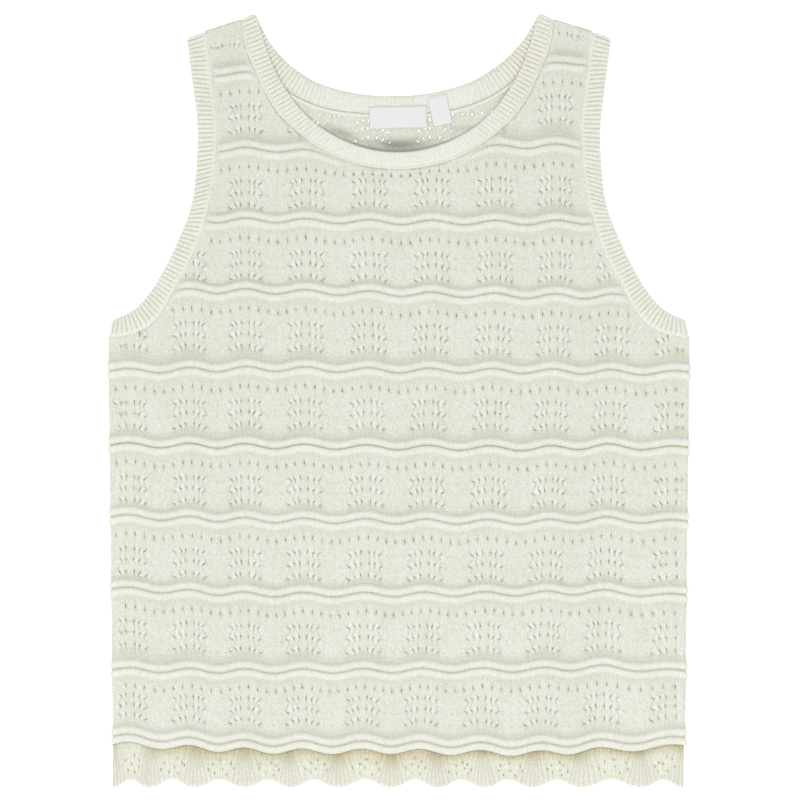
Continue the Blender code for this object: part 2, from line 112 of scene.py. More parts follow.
# Soft troughs of the back that show inside the neckline, and how deep a full one is. They are also
# painted darker, as painted shadow.
NECK_FOLDS = (
    {"middle": (-34.0, 154.0), "reach": (9.5, 2.4), "turn": -20.0, "depth": 0.65},
    {"middle": (-1.5, 146.8), "reach": (21.0, 3.4), "turn": 1.0, "depth": 0.95},
    {"middle": (36.5, 156.2), "reach": (9.0, 1.8), "turn": 4.0, "depth": 0.3},
    {"middle": (-59.0, 175.0), "reach": (8.0, 2.2), "turn": -40.0, "depth": 0.25},
    {"middle": (62.0, 177.5), "reach": (8.0, 2.2), "turn": 42.0, "depth": 0.25},
)
NECK_FOLD_DEPTH = 0.5

# The back's two highest welts lie lower than the front's, as its neck does.
BACK_WELTS = (
    {"y": 174.4, "rise": 5.0, "wave": 0.9, "sag": 0.0, "bend": (0.0, 0.0, 0.0, 0.0, 0.0, 0.0)},
    {"y": 138.3, "rise": 1.2, "wave": 1.3, "sag": 0.0, "bend": (0.0, 0.0, 0.0, 0.0, 0.0, 0.0)},
) + WELTS[2:]

# One repeat of the knitting, from one welt's groove down to the next.
REPEAT = 42.6
STITCHES_IN_FAN = 20
KNIT_ROW = 1.25
RIDGE_STEPS = (0.35, 0.9, 1.9, 3.1, 4.1, 4.8)
LACE_STEPS = (5.9, 7.6,
              9.7, 10.8, 11.9, 13.3, 15.0, 16.6,
              18.0, 19.15, 20.3, 22.3,
              24.3, 25.5, 26.7, 28.2, 29.7,
              31.2, 32.4, 33.6, 35.2)
ROW_STEPS = (0.0, *RIDGE_STEPS, *LACE_STEPS, *(REPEAT - step for step in RIDGE_STEPS[::-1]))
EYELET_ROW = ROW_STEPS.index(10.8)
ARC_ROWS = tuple(ROW_STEPS.index(step) for step in (19.15, 25.5, 32.4))
# Rows keep their distance to the upper welt as far down as this. Where two welts lie close, rows share it.
FOLLOWS_UPPER = 34.0
FOLLOWS_WELT = 7.0
CLOSE_WELTS = 38.0

# The fans have slipped to the left by this much at the hem, from this height down, in the right half.
SLIP = 9.5
SLIP_FROM = 70.0
SLIP_ACROSS = ((-90.0, 0.0), (50.0, 1.0), (125.0, 1.0), (164.0, 0.0))

# The fans lie closer to the welt above them in the last repeat.
LAST_FAN_RISE = 2.0
# The back's holes are stretched open where they show inside the neckline, above this height.
STRETCHED_ABOVE = 142.0
# The half fans on the straps' tops lie this far outwards of the others.
STRAP_FAN_SHIFTS = (-11.0, 4.0)

# The neckband pulls the front down under its middle: by this much, between these heights.
NECK_SAG = 5.3
NECK_SAG_ACROSS = ((-82.0, 0.0), (-6.0, 1.0), (66.0, 0.0))
NECK_SAG_DOWN = ((126.0, 0.0), (135.0, 1.0), (150.0, 1.0), (172.0, 0.0))

# Columns of half a fan, as shares of a repeat from its middle. Slits lie between them.
STRAND_COLUMNS = (0.021, 0.061, 0.0855, 0.114, 0.142, 0.168, 0.2, 0.234, 0.261, 0.288)
PLAIN_COLUMNS = 5
COLUMN_GAP = 0.4
# Where the body is wider than at its hem, the columns beyond this spread out.
SIDES_FROM = 146.0

# Eyelets: a row of upright ones under each welt, then three arcs of slits that fan out. The slits' distances
# from a fan's middle hold where the repeat is as wide as it is on average.
MEAN_REPEAT = 34.7
EYELET = {"pitch": 5.46, "lean": 12.0, "width": 0.37, "length": 1.7}
EYELETS_ASIDE = 31
SLITS = (
    {"across": 2.5, "width": 0.28, "length": 2.2, "tilt": 9.0, "drop": 0.0},
    {"across": 5.5, "width": 0.27, "length": 2.4, "tilt": 30.0, "drop": 0.5},
    {"across": 8.9, "width": 0.26, "length": 2.5, "tilt": 54.0, "drop": 1.5},
)
# The arcs differ: how far each drops at its ends, how wide it is and how far its slits tilt, as shares.
ARCS = ({"drop": 0.1, "spread": 0.97, "tilt": 0.9}, {"drop": 0.5, "spread": 1.0, "tilt": 1.0},
        {"drop": 0.7, "spread": 1.04, "tilt": 1.1})
# A hole's half width in its middle and at its ends, as shares of its width.
HOLE_HALF = 0.5
HOLE_HALF_AT_ENDS = 0.3
# Hand-sized differences from slit to slit.
SLIT_WANDER = 0.3
SLIT_UNEVEN = 0.22
# A raised strand lies along each slit's outer side, this far from its middle.
STRAND_OFF = 0.95
# How far a slit's rim dips at its two ends, as a share of its middle.
RIM_AT_ENDS = 0.3
# How large each arc's slits are on the straps' tops, where only the middle one has any.
STRAP_SLIT_SIZES = (0.0, 0.7, 0.0)
DIMPLE_PHASES = (0.373, 0.5)
DIMPLE_REACH = 0.008
# Holes keep this far from a panel's cut line.
CLEAR_OF_EDGE = 2.4
ON_LINE = 0.55
# How far beyond its last whole cell a panel's edge is drawn out to its seam. Rows pulled down by the
# neckband lie further apart than the others.
EDGE_REACH = 4.2

# How the points round a hole give way: rounds of easing, and how much of a move each round hands on.
EASE_ROUNDS = 60
EASE_HOLD = 0.985

# Walls.
CROWN_AT = 2.45
CROWN_HALF = 2.42
CROWN_FULLNESS = 2.4
WELT_UNDERCUT = 0.1
GROOVE_WALL = 2.25
BACK_LACE_LOW = 1.0
BACK_SEAM_DROP = 0.1
LEAST_Z = 0.02
STRAND_RISE = 0.55
FAN_SWELL = 0.12
# Between its strands a fan is painted darker, as painted shade: round its arcs, and this far from its
# middle as a share of a repeat.
FURROWS_END = 0.29
FURROWS_FADE = 0.03
ARC_REACH = 1.7
DIMPLE_DEPTH = 0.2
RIM_DIP = 0.45
EDGE_ROUND = 2.4
EDGE_LIP = 0.3
# The columns along a side seam, by their distance from it.
SIDE_STEPS = (0.0, 0.25, 0.9, 0.85 * EDGE_ROUND)
EDGE_COLUMNS = len(SIDE_STEPS)
SEAM_TAPER = 4.5
SPLIT_WELT = 5
# Seams are looked for above this height only, and further off than this nothing counts as near.
SEAMS_ABOVE = UNDERARM_Y - 8.0
FAR = 99.0
CURVE_STEPS = 24
SEAM_STEP = 1.0
OUTLINE_STEP = 0.2
OUTLINE_BESIDE = 20.0
OUTLINE_BELOW = 60.0

# What differs between the panels. The back's fans sit higher and to one side, so that its eyelets lie
# between the front's. fan_rises holds for the two highest repeats and for the others.
FRONT = {
    "node": "front_panel", "welts": WELTS, "neck": NECK_FRONT, "seed": 1,
    "fan_rises": (0.0, 0.0), "fan_shift": 0.0, "eyelet_shift": 1.2,
    "hole_size": 1.0, "stretch": 1.0, "lace_wall": 1.1, "ridge_wall": 2.95,
}
BACK = {
    "node": "back_panel", "welts": BACK_WELTS, "neck": NECK_BACK, "seed": 2,
    "fan_rises": (2.8, 3.1), "fan_shift": 1.5, "eyelet_shift": 3.9,
    "hole_size": 0.75, "stretch": 2.4, "lace_wall": 1.0, "ridge_wall": 1.92,
}

# Painted shade: how dark the yarn is painted at each kind of place, standing in for how deep in the
# knitting a point lies, from the ridges' crowns to the bottom of a groove.
SHADE = {
    "ridge": 0.02, "lace": 0.2, "valley_above": 0.26, "valley_below": 0.14, "groove": 0.64, "rim": 0.17,
    "furrow": 0.05, "dimple": 0.16, "inside": 0.22, "hidden": 0.33, "rib_crown": 0.06, "rib_groove": 0.62,
    "border": 0.18, "border_rib": 0.26, "border_crown": 0.06, "border_rim": 0.1, "net": 0.12,
}
RIDGE_FADE = 1.2
GROOVE_REACH = 0.8
# The painted shade of the valleys beside a welt: how far from its groove, how wide, and how much more of
# both under a fan.
VALLEY_AT = 6.1
VALLEY_REACH = 1.6
VALLEY_MORE = 0.4
# The panels' map for baked colour holds both faces side by side, with this edge left free.
BAKE_EDGE = 3.0

# The yarn's colour on crowns; painted shade half way down, for the knit, the ribs and the border; painted
# shade at the bottom of a groove; and painted shadow in the neckline's folds.
YARN_LIGHT = (0.90, 0.91, 0.845, 1.0)
YARN_MIDDLE = (0.69, 0.70, 0.57, 1.0)
RIB_MIDDLE = (0.72, 0.705, 0.57, 1.0)
BORDER_MIDDLE = (0.71, 0.69, 0.53, 1.0)
PAINTED_SHADE_DEEP = (0.56, 0.46, 0.22, 1.0)
PAINTED_FOLD_SHADE_COLOUR = (0.36, 0.335, 0.285, 1.0)
TAPE = (0.83, 0.85, 0.84, 1.0)
# The label tape's painted shade between its threads.
TAPE_PAINTED_SHADE = (0.62, 0.64, 0.63, 1.0)


# ---------------------------------------------------------------- shares and lines

def eased(share):
    """A smooth step from 0 to 1."""
    return share * share * (3 - 2 * share)


def rounded(share):
    """How high a rounded edge stands at this share of the way in from it."""
    return np.sqrt(np.clip(1 - (1 - np.clip(share, 0, 1)) ** 2, 0, 1))


def bell(distance, reach):
    """1 at no distance, and fading over this reach."""
    return np.exp(-((distance / reach) ** 2))


def crest(turns):
    """1 at whole turns, and 0 half way between them."""
    return 0.5 + 0.5 * np.cos(2 * np.pi * turns)


def curve_through(points):
    """A Catmull-Rom curve through these points, at even shares of each stretch."""
    points = np.array(points, float)
    ends = np.vstack([2 * points[0] - points[1], points, 2 * points[-1] - points[-2]])
    t = np.linspace(0, 1, CURVE_STEPS, endpoint=False)[:, None]
    fine = []
    for a, b, c, d in zip(ends, ends[1:], ends[2:], ends[3:]):
        fine.append(0.5 * (2 * b + (c - a) * t + (2 * a - 5 * b + 4 * c - d) * t**2
                           + (3 * b - a - 3 * c + d) * t**3))
    return np.vstack([*fine, points[-1:]])


def steps_along(line):
    """How far along the line each of its points lies."""
    return np.concatenate([[0], np.cumsum(np.linalg.norm(np.diff(line, axis=0), axis=1))])


def read_at(line, places, along):
    """The line's values at these places, where along says how far along it its own points lie."""
    return np.column_stack([np.interp(places, along, values) for values in line.T])


def resampled(line, spacing, extra=0):
    """The same line in even steps of about this length."""
    along = steps_along(line)
    return read_at(line, np.linspace(0, along[-1], round(along[-1] / spacing) + extra), along)


def facing_lines(seam, free, end):
    """Curves through a band's matched seam and free points, read where they face each other, without the
    fold's inset at the start and without this length at the end."""
    both = np.hstack([curve_through(seam), curve_through(free)])
    along = steps_along((both[:, :2] + both[:, 2:]) / 2)
    places = np.linspace(FOLD_INSET, along[-1] - end, round(along[-1] / BAND_STATION))
    both = read_at(both, places, along)
    return both[:, :2], both[:, 2:]


def side_x(y):
    """Half the body's width at this height."""
    share = np.clip((UNDERARM_Y - y) / (UNDERARM_Y - HEM_Y), 0, 1)
    return CHEST_HALF_WIDTH + (HEM_HALF_WIDTH - CHEST_HALF_WIDTH) * share


def shoulder_y(x):
    """The shoulder fold's height at this distance from the middle."""
    (inner_x, inner_y), (outer_x, outer_y) = SHOULDER_INNER, SHOULDER_OUTER
    across = np.clip(np.abs(x), inner_x - FOLD_ENDS, outer_x + FOLD_ENDS)
    return inner_y + (outer_y - inner_y) * (across - inner_x) / (outer_x - inner_x)


def fan_middles():
    first, last = FAN_X[0], FAN_X[-1]
    step = (last - first) / (len(FAN_X) - 1)
    return np.array((first - step, *FAN_X, last + step))


def fan_phase(x):
    """Where x lies in the repeat, in turns: a whole number at a fan's middle."""
    return np.interp(x, fan_middles(), np.arange(-1.0, len(FAN_X) + 1.0))


def fan_place(phase):
    """The x at which the repeat has this phase."""
    return np.interp(phase, np.arange(-1.0, len(FAN_X) + 1.0), fan_middles())


def slipped(x, y):
    """How far to the left the knitting has slipped at this place."""
    down = np.clip((SLIP_FROM - y) / (SLIP_FROM - HEM_Y), 0, 1)
    return SLIP * down * np.interp(x, *zip(*SLIP_ACROSS))


def welt_y(welt, x, phase):
    """The height of this welt's groove."""
    across = x / CHEST_HALF_WIDTH
    arch = welt["sag"] * (1 - across**2)
    level = welt["y"] + welt["rise"] * across / 2 - arch + np.interp(x, BEND_AT, welt["bend"])
    return level + welt["wave"] * np.cos(2 * np.pi * phase)


def lift(x, y):
    """How far the front stands off the back round the neckline."""
    across = (x - NECK_LIFT_CENTRE[0]) / NECK_LIFT_REACH[0]
    along = (y - NECK_LIFT_CENTRE[1]) / NECK_LIFT_REACH[1]
    away = np.clip(np.sqrt(across**2 + along**2), 0, 1)
    return NECK_LIFT * crest(away / 2)


def neck_points(neck):
    """Points of a neckline's seam and free edge, from the left shoulder to the right one."""
    edges = []
    for half in (np.array(neck["seam"]), np.array(neck["free"])):
        depth = (half[0, 1] - half[:, 1]) / (half[0, 1] - half[-1, 1])
        centre = np.column_stack([NECK_CENTRE_X + neck["lean"] * depth, np.zeros(len(half))])
        edges.append(np.vstack([half * (-1, 1) + centre, (half + centre)[-2::-1]]))
    return edges


def armhole_points(side):
    """Points of an armhole's seam and free edge, from the shoulder to the side."""
    return [np.array(ARMHOLE[edge]) * (side, 1) for edge in ("seam", "free")]


def seam_line(points):
    """The seam of a neckline or armhole, from its seam and free points."""
    return resampled(curve_through(points[0]), SEAM_STEP, 1)


def scallop_y(x):
    """The border's lower edge."""
    turn = np.interp(x, SCALLOP_X, np.arange(len(SCALLOP_X)))
    return BORDER_LOW_Y + SCALLOP_DEPTH * (1 - crest(turn)) ** SCALLOP_POINT


# ---------------------------------------------------------------- meshes

def mesh_piece(name, node, slot, points, quads, finish, stitch, bake, shade, painted_fold_shade=None):
    """A smooth mesh from points in millimetres, in place of this CAD node. stitch and bake are its UV maps,
    shade is the painted shade at each point, and the last, optional argument the painted shadow in the
    neckline's folds."""
    used, quads = np.unique(quads, return_inverse=True)
    quads = quads.reshape(-1, 4)
    mesh = bpy.data.meshes.new(name)
    mesh.vertices.add(len(used))
    mesh.vertices.foreach_set("co", (points[used] * MM).astype(np.float32).ravel())
    mesh.loops.add(quads.size)
    mesh.loops.foreach_set("vertex_index", quads.astype(np.int32).ravel())
    mesh.polygons.add(len(quads))
    mesh.polygons.foreach_set("loop_start", np.arange(0, quads.size, 4, dtype=np.int32))
    mesh.polygons.foreach_set("use_smooth", np.ones(len(quads), bool))
    mesh.update(calc_edges=True)
    for title, places in (("OFBake", bake), ("stitch", stitch)):
        layer = mesh.uv_layers.new(name=title)
        layer.data.foreach_set("uv", places[used][quads.ravel()].astype(np.float32).ravel())
    for title, values in (("shade", shade), ("painted_fold_shade", painted_fold_shade)):
        if values is not None:
            layer = mesh.attributes.new(title, "FLOAT", "POINT")
            layer.data.foreach_set("value", values[used].astype(np.float32))
    mesh.materials.append(finish)
    piece = bpy.data.objects.new(name, mesh)
    bpy.context.scene.collection.objects.link(piece)
    dress(piece, slot, node)
    return piece


def dress(piece, slot, *nodes):
    """Puts the piece on the part's body, in place of these CAD nodes, which it hides. slot is not used."""
    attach(piece, BODY)
    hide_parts(*nodes)


def grid_shell(outer, inner, keep, faces_up):
    """A closed shell from two matched grids of points, with walls round every opening. Returns its points
    and quads."""
    rows, columns = outer.shape[:2]
    count = rows * columns
    points = np.vstack([outer.reshape(-1, 3), inner.reshape(-1, 3)])
    index = np.arange(count).reshape(rows, columns)
    a, b = index[:-1, :-1][keep], index[1:, :-1][keep]
    c, d = index[1:, 1:][keep], index[:-1, 1:][keep]
    padded = np.pad(keep, 1)
    walls = []
    sides = ((padded[:-2, 1:-1], d, a), (padded[1:-1, :-2], a, b),
             (padded[2:, 1:-1], b, c), (padded[1:-1, 2:], c, d))
    for beyond, start, end in sides:
        bare = ~beyond[keep]
        walls.append(np.column_stack([end, start, start + count, end + count])[bare])
    top = np.column_stack([a, b, c, d])
    quads = np.vstack([top, top[:, ::-1] + count, *walls])
    return points, quads if faces_up else quads[:, ::-1]


def shell_piece(name, node, slot, layers, keep, faces_up, finish, stitch, bake, beside, shade, painted_fold_shade=None):
    """A dressed shell. Its maps are given for one face, and the other's bake map lies beside that one's."""
    points, quads = grid_shell(*layers, keep, faces_up)
    stitch, bake = stitch.reshape(-1, 2), bake.reshape(-1, 2)
    return mesh_piece(name, node, slot, points, quads, finish, np.vstack([stitch, stitch]),
                      np.vstack([bake, bake + beside]), shade, painted_fold_shade)


def tube_piece(name, node, points, closed, finish, stitch, bake, shade):
    """A dressed rib piece from stations of points round its section, in a ring if it is closed."""
    stations, ring = points.shape[:2]
    index = np.arange(stations * ring).reshape(stations, ring)
    here, ahead = (index, np.roll(index, -1, axis=0)) if closed else (index[:-1], index[1:])
    quads = np.stack([here, ahead, np.roll(ahead, -1, axis=1), np.roll(here, -1, axis=1)], axis=-1)
    points, quads = points.reshape(-1, 3), quads.reshape(-1, 4)
    return mesh_piece(name, node, "rib", points, outward_facing(points, quads), finish,
                      stitch.reshape(-1, 2), bake.reshape(-1, 2), shade.ravel())


def outward_facing(points, quads):
    """The quads turned so that the closed mesh they make has its faces outwards."""
    a, b, c, d = (points[quads[:, i]] for i in range(4))
    volume = (np.cross(b - a, c - a) * a).sum() + (np.cross(c - a, d - a) * a).sum()
    return quads if volume > 0 else quads[:, ::-1]


def point_tree(points):
    """A tree that finds the nearest of these level points."""
    tree = kdtree.KDTree(len(points))
    for i, (x, y) in enumerate(points):
        tree.insert((x, y, 0), i)
    tree.balance()
    return tree


def nearest_points(tree, places):
    """The tree's nearest point to each place and its distance. Places well below the seams count as far."""
    nearest = places.copy()
    distance = np.full(len(places), FAR)
    for i in np.nonzero(places[:, 1] > SEAMS_ABOVE)[0]:
        point, _, distance[i] = tree.find((*places[i], 0))
        nearest[i] = point[:2]
    return nearest, distance


def touching(cells):
    """Which points of the grid touch one of these cells."""
    points = np.zeros((cells.shape[0] + 1, cells.shape[1] + 1), bool)
    for corner in (points[:-1, :-1], points[1:, :-1], points[:-1, 1:], points[1:, 1:]):
        corner |= cells
    return points


def turned_over(grid):
    """Which cells of the grid have a corner whose sides run the wrong way round."""
    corners = grid[:-1, :-1], grid[1:, :-1], grid[1:, 1:], grid[:-1, 1:]
    result = np.zeros(corners[0].shape[:2], bool)
    for before, here, after in zip(corners, corners[1:] + corners[:1], corners[2:] + corners[:2]):
        one, other = here - before, after - here
        result |= one[..., 0] * other[..., 1] - one[..., 1] * other[..., 0] < 0
    return result


class Holes:
    """Openings in a grid: the cells left, which points are settled, their moves, and how far each lies on a
    hole's rim."""

    def __init__(self, grid):
        self.grid = grid
        self.keep = np.ones((grid.shape[0] - 1, grid.shape[1] - 1), bool)
        self.fixed = np.zeros(grid.shape[:2], bool)
        self.moves = np.zeros_like(grid)
        self.rims = np.zeros(grid.shape[:2])

    def settle(self, r, c, place, rim=0.0):
        """Moves this point of the grid to a place."""
        self.moves[r, c] = place - self.grid[r, c]
        self.fixed[r, c] = True
        self.rims[r, c] = rim

    def opened(self):
        """The grid with its settled points moved and the others eased in between."""
        moves = self.moves.copy()
        free = ~self.fixed[1:-1, 1:-1]
        for _ in range(EASE_ROUNDS):
            around = (moves[:-2, 1:-1] + moves[2:, 1:-1] + moves[1:-1, :-2] + moves[1:-1, 2:]) / 4
            moves[1:-1, 1:-1][free] = EASE_HOLD * around[free]
        return self.grid + moves


# ---------------------------------------------------------------- panels

def panel_rows(side):
    """The panel's rows from the shoulder to the last welt: the welts above and below each, its distance
    below the upper one, and its number in the repeat."""
    welts, (high, low) = side["welts"], side["fan_rises"]
    fan_rises = [high] * 2 + [low] * (len(welts) - 2)
    fan_rises[-1] += LAST_FAN_RISE
    fan = (ROW_STEPS[ARC_ROWS[0] - 1], ROW_STEPS[ARC_ROWS[-1] + 2])
    eyelets = ROW_STEPS[EYELET_ROW + 1]
    rows = []
    above = dict(welts[0], y=welts[0]["y"] + REPEAT)
    for upper, lower, fan_rise in zip((above, *welts), welts, fan_rises):
        for i, step in enumerate(ROW_STEPS):
            rise = np.interp(step, (eyelets, *fan, REPEAT - RIDGE_STEPS[-1]), (0, fan_rise, fan_rise, 0))
            rows.append((upper, lower, step - rise, i))
    last = [s for s in (0.0, *RIDGE_STEPS) if s < -WELT_END]
    rows += [(welts[-1], None, step, i) for i, step in enumerate([*last, -WELT_END])]
    return rows


def row_y(upper, lower, step, x, phase):
    """A row's height: it follows the upper welt down to the last arc, and below that the lower one."""
    from_upper = welt_y(upper, x, phase) - step
    if lower is None:
        return from_upper
    start, end = FOLLOWS_UPPER, REPEAT - RIDGE_STEPS[-1]
    if upper["y"] + min(upper["bend"]) - lower["y"] - max(lower["bend"]) < CLOSE_WELTS:
        start, end = FOLLOWS_WELT, REPEAT - FOLLOWS_WELT
    share = np.clip((step - start) / (end - start), 0, 1)
    return from_upper * (1 - share) + (welt_y(lower, x, phase) + REPEAT - step) * share


def panel_columns():
    """The columns' x in the body's middle part, and each one's phase."""
    plain = np.linspace(STRAND_COLUMNS[-1], 0.5, PLAIN_COLUMNS + 1)[1:]
    half = np.concatenate([STRAND_COLUMNS, plain])
    turn = np.concatenate([-half[-2::-1], half])
    phases = np.concatenate([turn + k for k in range(-1, len(FAN_X) + 1)])
    xs = fan_place(phases)
    kept = np.abs(xs) < HEM_HALF_WIDTH - EDGE_ROUND - COLUMN_GAP
    return xs[kept], phases[kept]


def panel_places(rows):
    """The grid's x and y before the eyelets open, and each column's phase."""
    inside, phases = panel_columns()
    ends = np.array(SIDE_STEPS)
    edge_phases = fan_phase(HEM_HALF_WIDTH - ends[::-1])
    phases = np.concatenate([fan_phase(ends - HEM_HALF_WIDTH), phases, edge_phases])
    grid = np.zeros((len(rows), len(phases), 2))
    out = np.sign(inside) * np.clip((np.abs(inside) - SIDES_FROM) / (HEM_HALF_WIDTH - SIDES_FROM), 0, 1)
    for r, (upper, lower, step, _) in enumerate(rows):
        level = row_y(upper, lower, step, CHEST_HALF_WIDTH, phases[-1])
        from_groove = min(step, REPEAT - step)
        ridge = np.clip(1 - ((from_groove - RIDGE_MIDDLE) / RIDGE_HALF) ** 2, 0, 1)
        reach = side_x(level) + WELT_SIDE_BULGE * ridge
        middle = inside - slipped(inside, level) + out * (side_x(level) - HEM_HALF_WIDTH)
        xs = np.concatenate([ends - reach, middle, (reach - ends)[::-1]])
        grid[r, :, 0] = xs
        grid[r, :, 1] = row_y(upper, lower, step, xs, phases)
    return grid, phases


def neck_sag(x, y):
    """How far the neckband pulls the front down at this place."""
    across = np.interp(x, *zip(*NECK_SAG_ACROSS))
    down = np.interp(y, *zip(*NECK_SAG_DOWN))
    return NECK_SAG * eased(across) * down


class Lace(Holes):
    """A panel's eyelets and slits, with hand-sized differences, and the strands raised beside its slits."""

    def __init__(self, grid, rows, outline, side):
        super().__init__(grid)
        self.outline, self.side = outline, side
        self.chance = np.random.default_rng(side["seed"])
        self.strands = np.zeros(grid.shape[:2])
        self.strand_places = []
        for r, (_, lower, step, _) in enumerate(rows):
            self.fixed[r] = lower is None or min(step, REPEAT - step) <= LACE_STEPS[0]
        self.fixed[:, :EDGE_COLUMNS] = True
        self.fixed[:, -EDGE_COLUMNS:] = True
        for r, row in enumerate(rows):
            if row[3] == EYELET_ROW:
                self.punch_eyelets(r)
            if row[3] in ARC_ROWS:
                self.punch_arc(r, ARC_ROWS.index(row[3]))
        self.raise_strands()

    def punch_eyelets(self, r):
        for n in range(-EYELETS_ASIDE, EYELETS_ASIDE + 1):
            x = n * EYELET["pitch"] + self.side["eyelet_shift"]
            self.punch(r, x, EYELET, EYELET["lean"] * math.sin(2 * math.pi * fan_phase(x)))

    def punch_arc(self, r, number):
        arc = ARCS[number]
        for middle in fan_middles()[1:-1] + self.side["fan_shift"]:
            size = 1.0
            if r < len(ROW_STEPS):
                middle += STRAP_FAN_SHIFTS[int(middle > 0)]
                size = STRAP_SLIT_SIZES[number]
            for slit in SLITS:
                drop = slit["drop"] * arc["drop"]
                for way in (-1, 1):
                    x = fan_place(fan_phase(middle) + way * slit["across"] * arc["spread"] / MEAN_REPEAT)
                    self.punch(r, x, slit, way * slit["tilt"] * arc["tilt"], drop, size)

    def punch(self, r, x, hole, tilt, drop=0.0, size=1.0):
        """Opens a hole in this row near x, if there is room. The random draws are made in any case."""
        grid = self.grid
        x = x - slipped(x, grid[r, -1, 1])
        c = int(np.argmin(np.abs((grid[r, 1:, 0] + grid[r, :-1, 0]) / 2 - x)))
        x += self.chance.uniform(-SLIT_WANDER, SLIT_WANDER)
        y = np.interp(x, grid[r, :, 0], grid[r, :, 1]) - drop
        y += self.chance.uniform(-SLIT_WANDER, SLIT_WANDER)
        sizes = size * self.side["hole_size"] * self.chance.uniform(1 - SLIT_UNEVEN, 1 + SLIT_UNEVEN, 2)
        width, length = hole["width"] * sizes[0], hole["length"] * sizes[1]
        if y > STRETCHED_ABOVE:
            width *= self.side["stretch"]
        if size == 0 or not EDGE_COLUMNS <= c < grid.shape[1] - EDGE_COLUMNS - 1:
            return
        if self.outline.depth((x, y)) < CLEAR_OF_EDGE or self.fixed[r - 1:r + 2, c:c + 2].any():
            return
        angle = math.radians(tilt)
        along = np.array((math.sin(angle), math.cos(angle)))
        across = np.array((math.cos(angle), -math.sin(angle)))
        for dr in (-1, 0, 1):
            middle = np.array((x, y)) - along * dr * length / 2
            half = across * width * (HOLE_HALF_AT_ENDS if dr else HOLE_HALF)
            rim = RIM_AT_ENDS if dr and hole in SLITS else 1.0
            self.settle(r + dr, c, middle - half, rim)
            self.settle(r + dr, c + 1, middle + half, rim)
            if hole in SLITS:
                beside = middle + across * math.copysign(STRAND_OFF, tilt)
                self.strand_places.append((r + dr, c + (2 if tilt > 0 else -1), beside))
        self.keep[r - 1:r + 1, c] = False

    def raise_strands(self):
        """Raises the strands, apart from those that would turn a cell over."""
        for r, c, place in self.strand_places:
            if not self.fixed[r, c]:
                self.settle(r, c, place)
                self.strands[r, c] = 1.0
        folded = turned_over(self.opened())
        for r, c, _ in self.strand_places:
            if self.strands[r, c] and folded[r - 1:r + 1, c - 1:c + 1].any():
                self.moves[r, c] = 0
                self.fixed[r, c] = False
                self.strands[r, c] = 0


class Outline:
    """The line along which a panel meets its bands and folds at the shoulders."""

    def __init__(self, neck):
        left, right = seam_line(armhole_points(-1)), seam_line(armhole_points(1))
        neckline = seam_line(neck_points(neck))
        low = left[-1, 1]
        beyond, bottom = CHEST_HALF_WIDTH + OUTLINE_BESIDE, HEM_Y - OUTLINE_BELOW
        self.cut = np.vstack([(-beyond, low), left[::-1], neckline, right, (beyond, low)])
        self.loop = np.vstack([self.cut, (beyond, bottom), (-beyond, bottom)])
        self.tree = point_tree(resampled(self.cut, OUTLINE_STEP))
        self.seams = point_tree(np.vstack([left, neckline, right]))

    def inside(self, places):
        """Which places lie inside the panel."""
        x, y = places[:, 0], places[:, 1]
        result = np.zeros(len(places), bool)
        for (x0, y0), (x1, y1) in zip(self.loop, np.roll(self.loop, -1, axis=0)):
            if y0 == y1:
                continue
            crosses = (y0 > y) != (y1 > y)
            result ^= crosses & (x < x0 + (x1 - x0) * (y - y0) / (y1 - y0))
        return result

    def depth(self, place):
        """How deep inside the cut line a place lies; negative outside it."""
        if place[1] < SEAMS_ABOVE:
            return math.inf
        far = self.tree.find((place[0], place[1], 0))[2]
        return far if self.inside(np.array([place]))[0] else -far


def clip_to(outline, places, keep):
    """Fits the grid's edge to the outline and drops the cells beyond it."""
    flat = places.reshape(-1, 2)
    nearest, distance = nearest_points(outline.tree, flat)
    on_line = distance < ON_LINE
    good = (outline.inside(flat) | on_line).reshape(places.shape[:2])
    held = good[:-1, :-1] & good[1:, :-1] & good[:-1, 1:] & good[1:, 1:]
    pulled = (touching(~held) & touching(held)).ravel() & (distance < EDGE_REACH)
    flat = np.where((on_line | pulled)[:, None], nearest, flat)
    return flat.reshape(places.shape), keep & held


def welt_height(from_groove, lace_wall, ridge_wall):
    """The wall's thickness across a welt: two rolled ridges with a groove between them."""
    ridge = np.clip(1 - np.abs((from_groove - CROWN_AT) / CROWN_HALF) ** CROWN_FULLNESS, 0, 1) ** 0.5
    low = np.where(from_groove > CROWN_AT, lace_wall - WELT_UNDERCUT, GROOVE_WALL)
    return low + (ridge_wall - low) * ridge


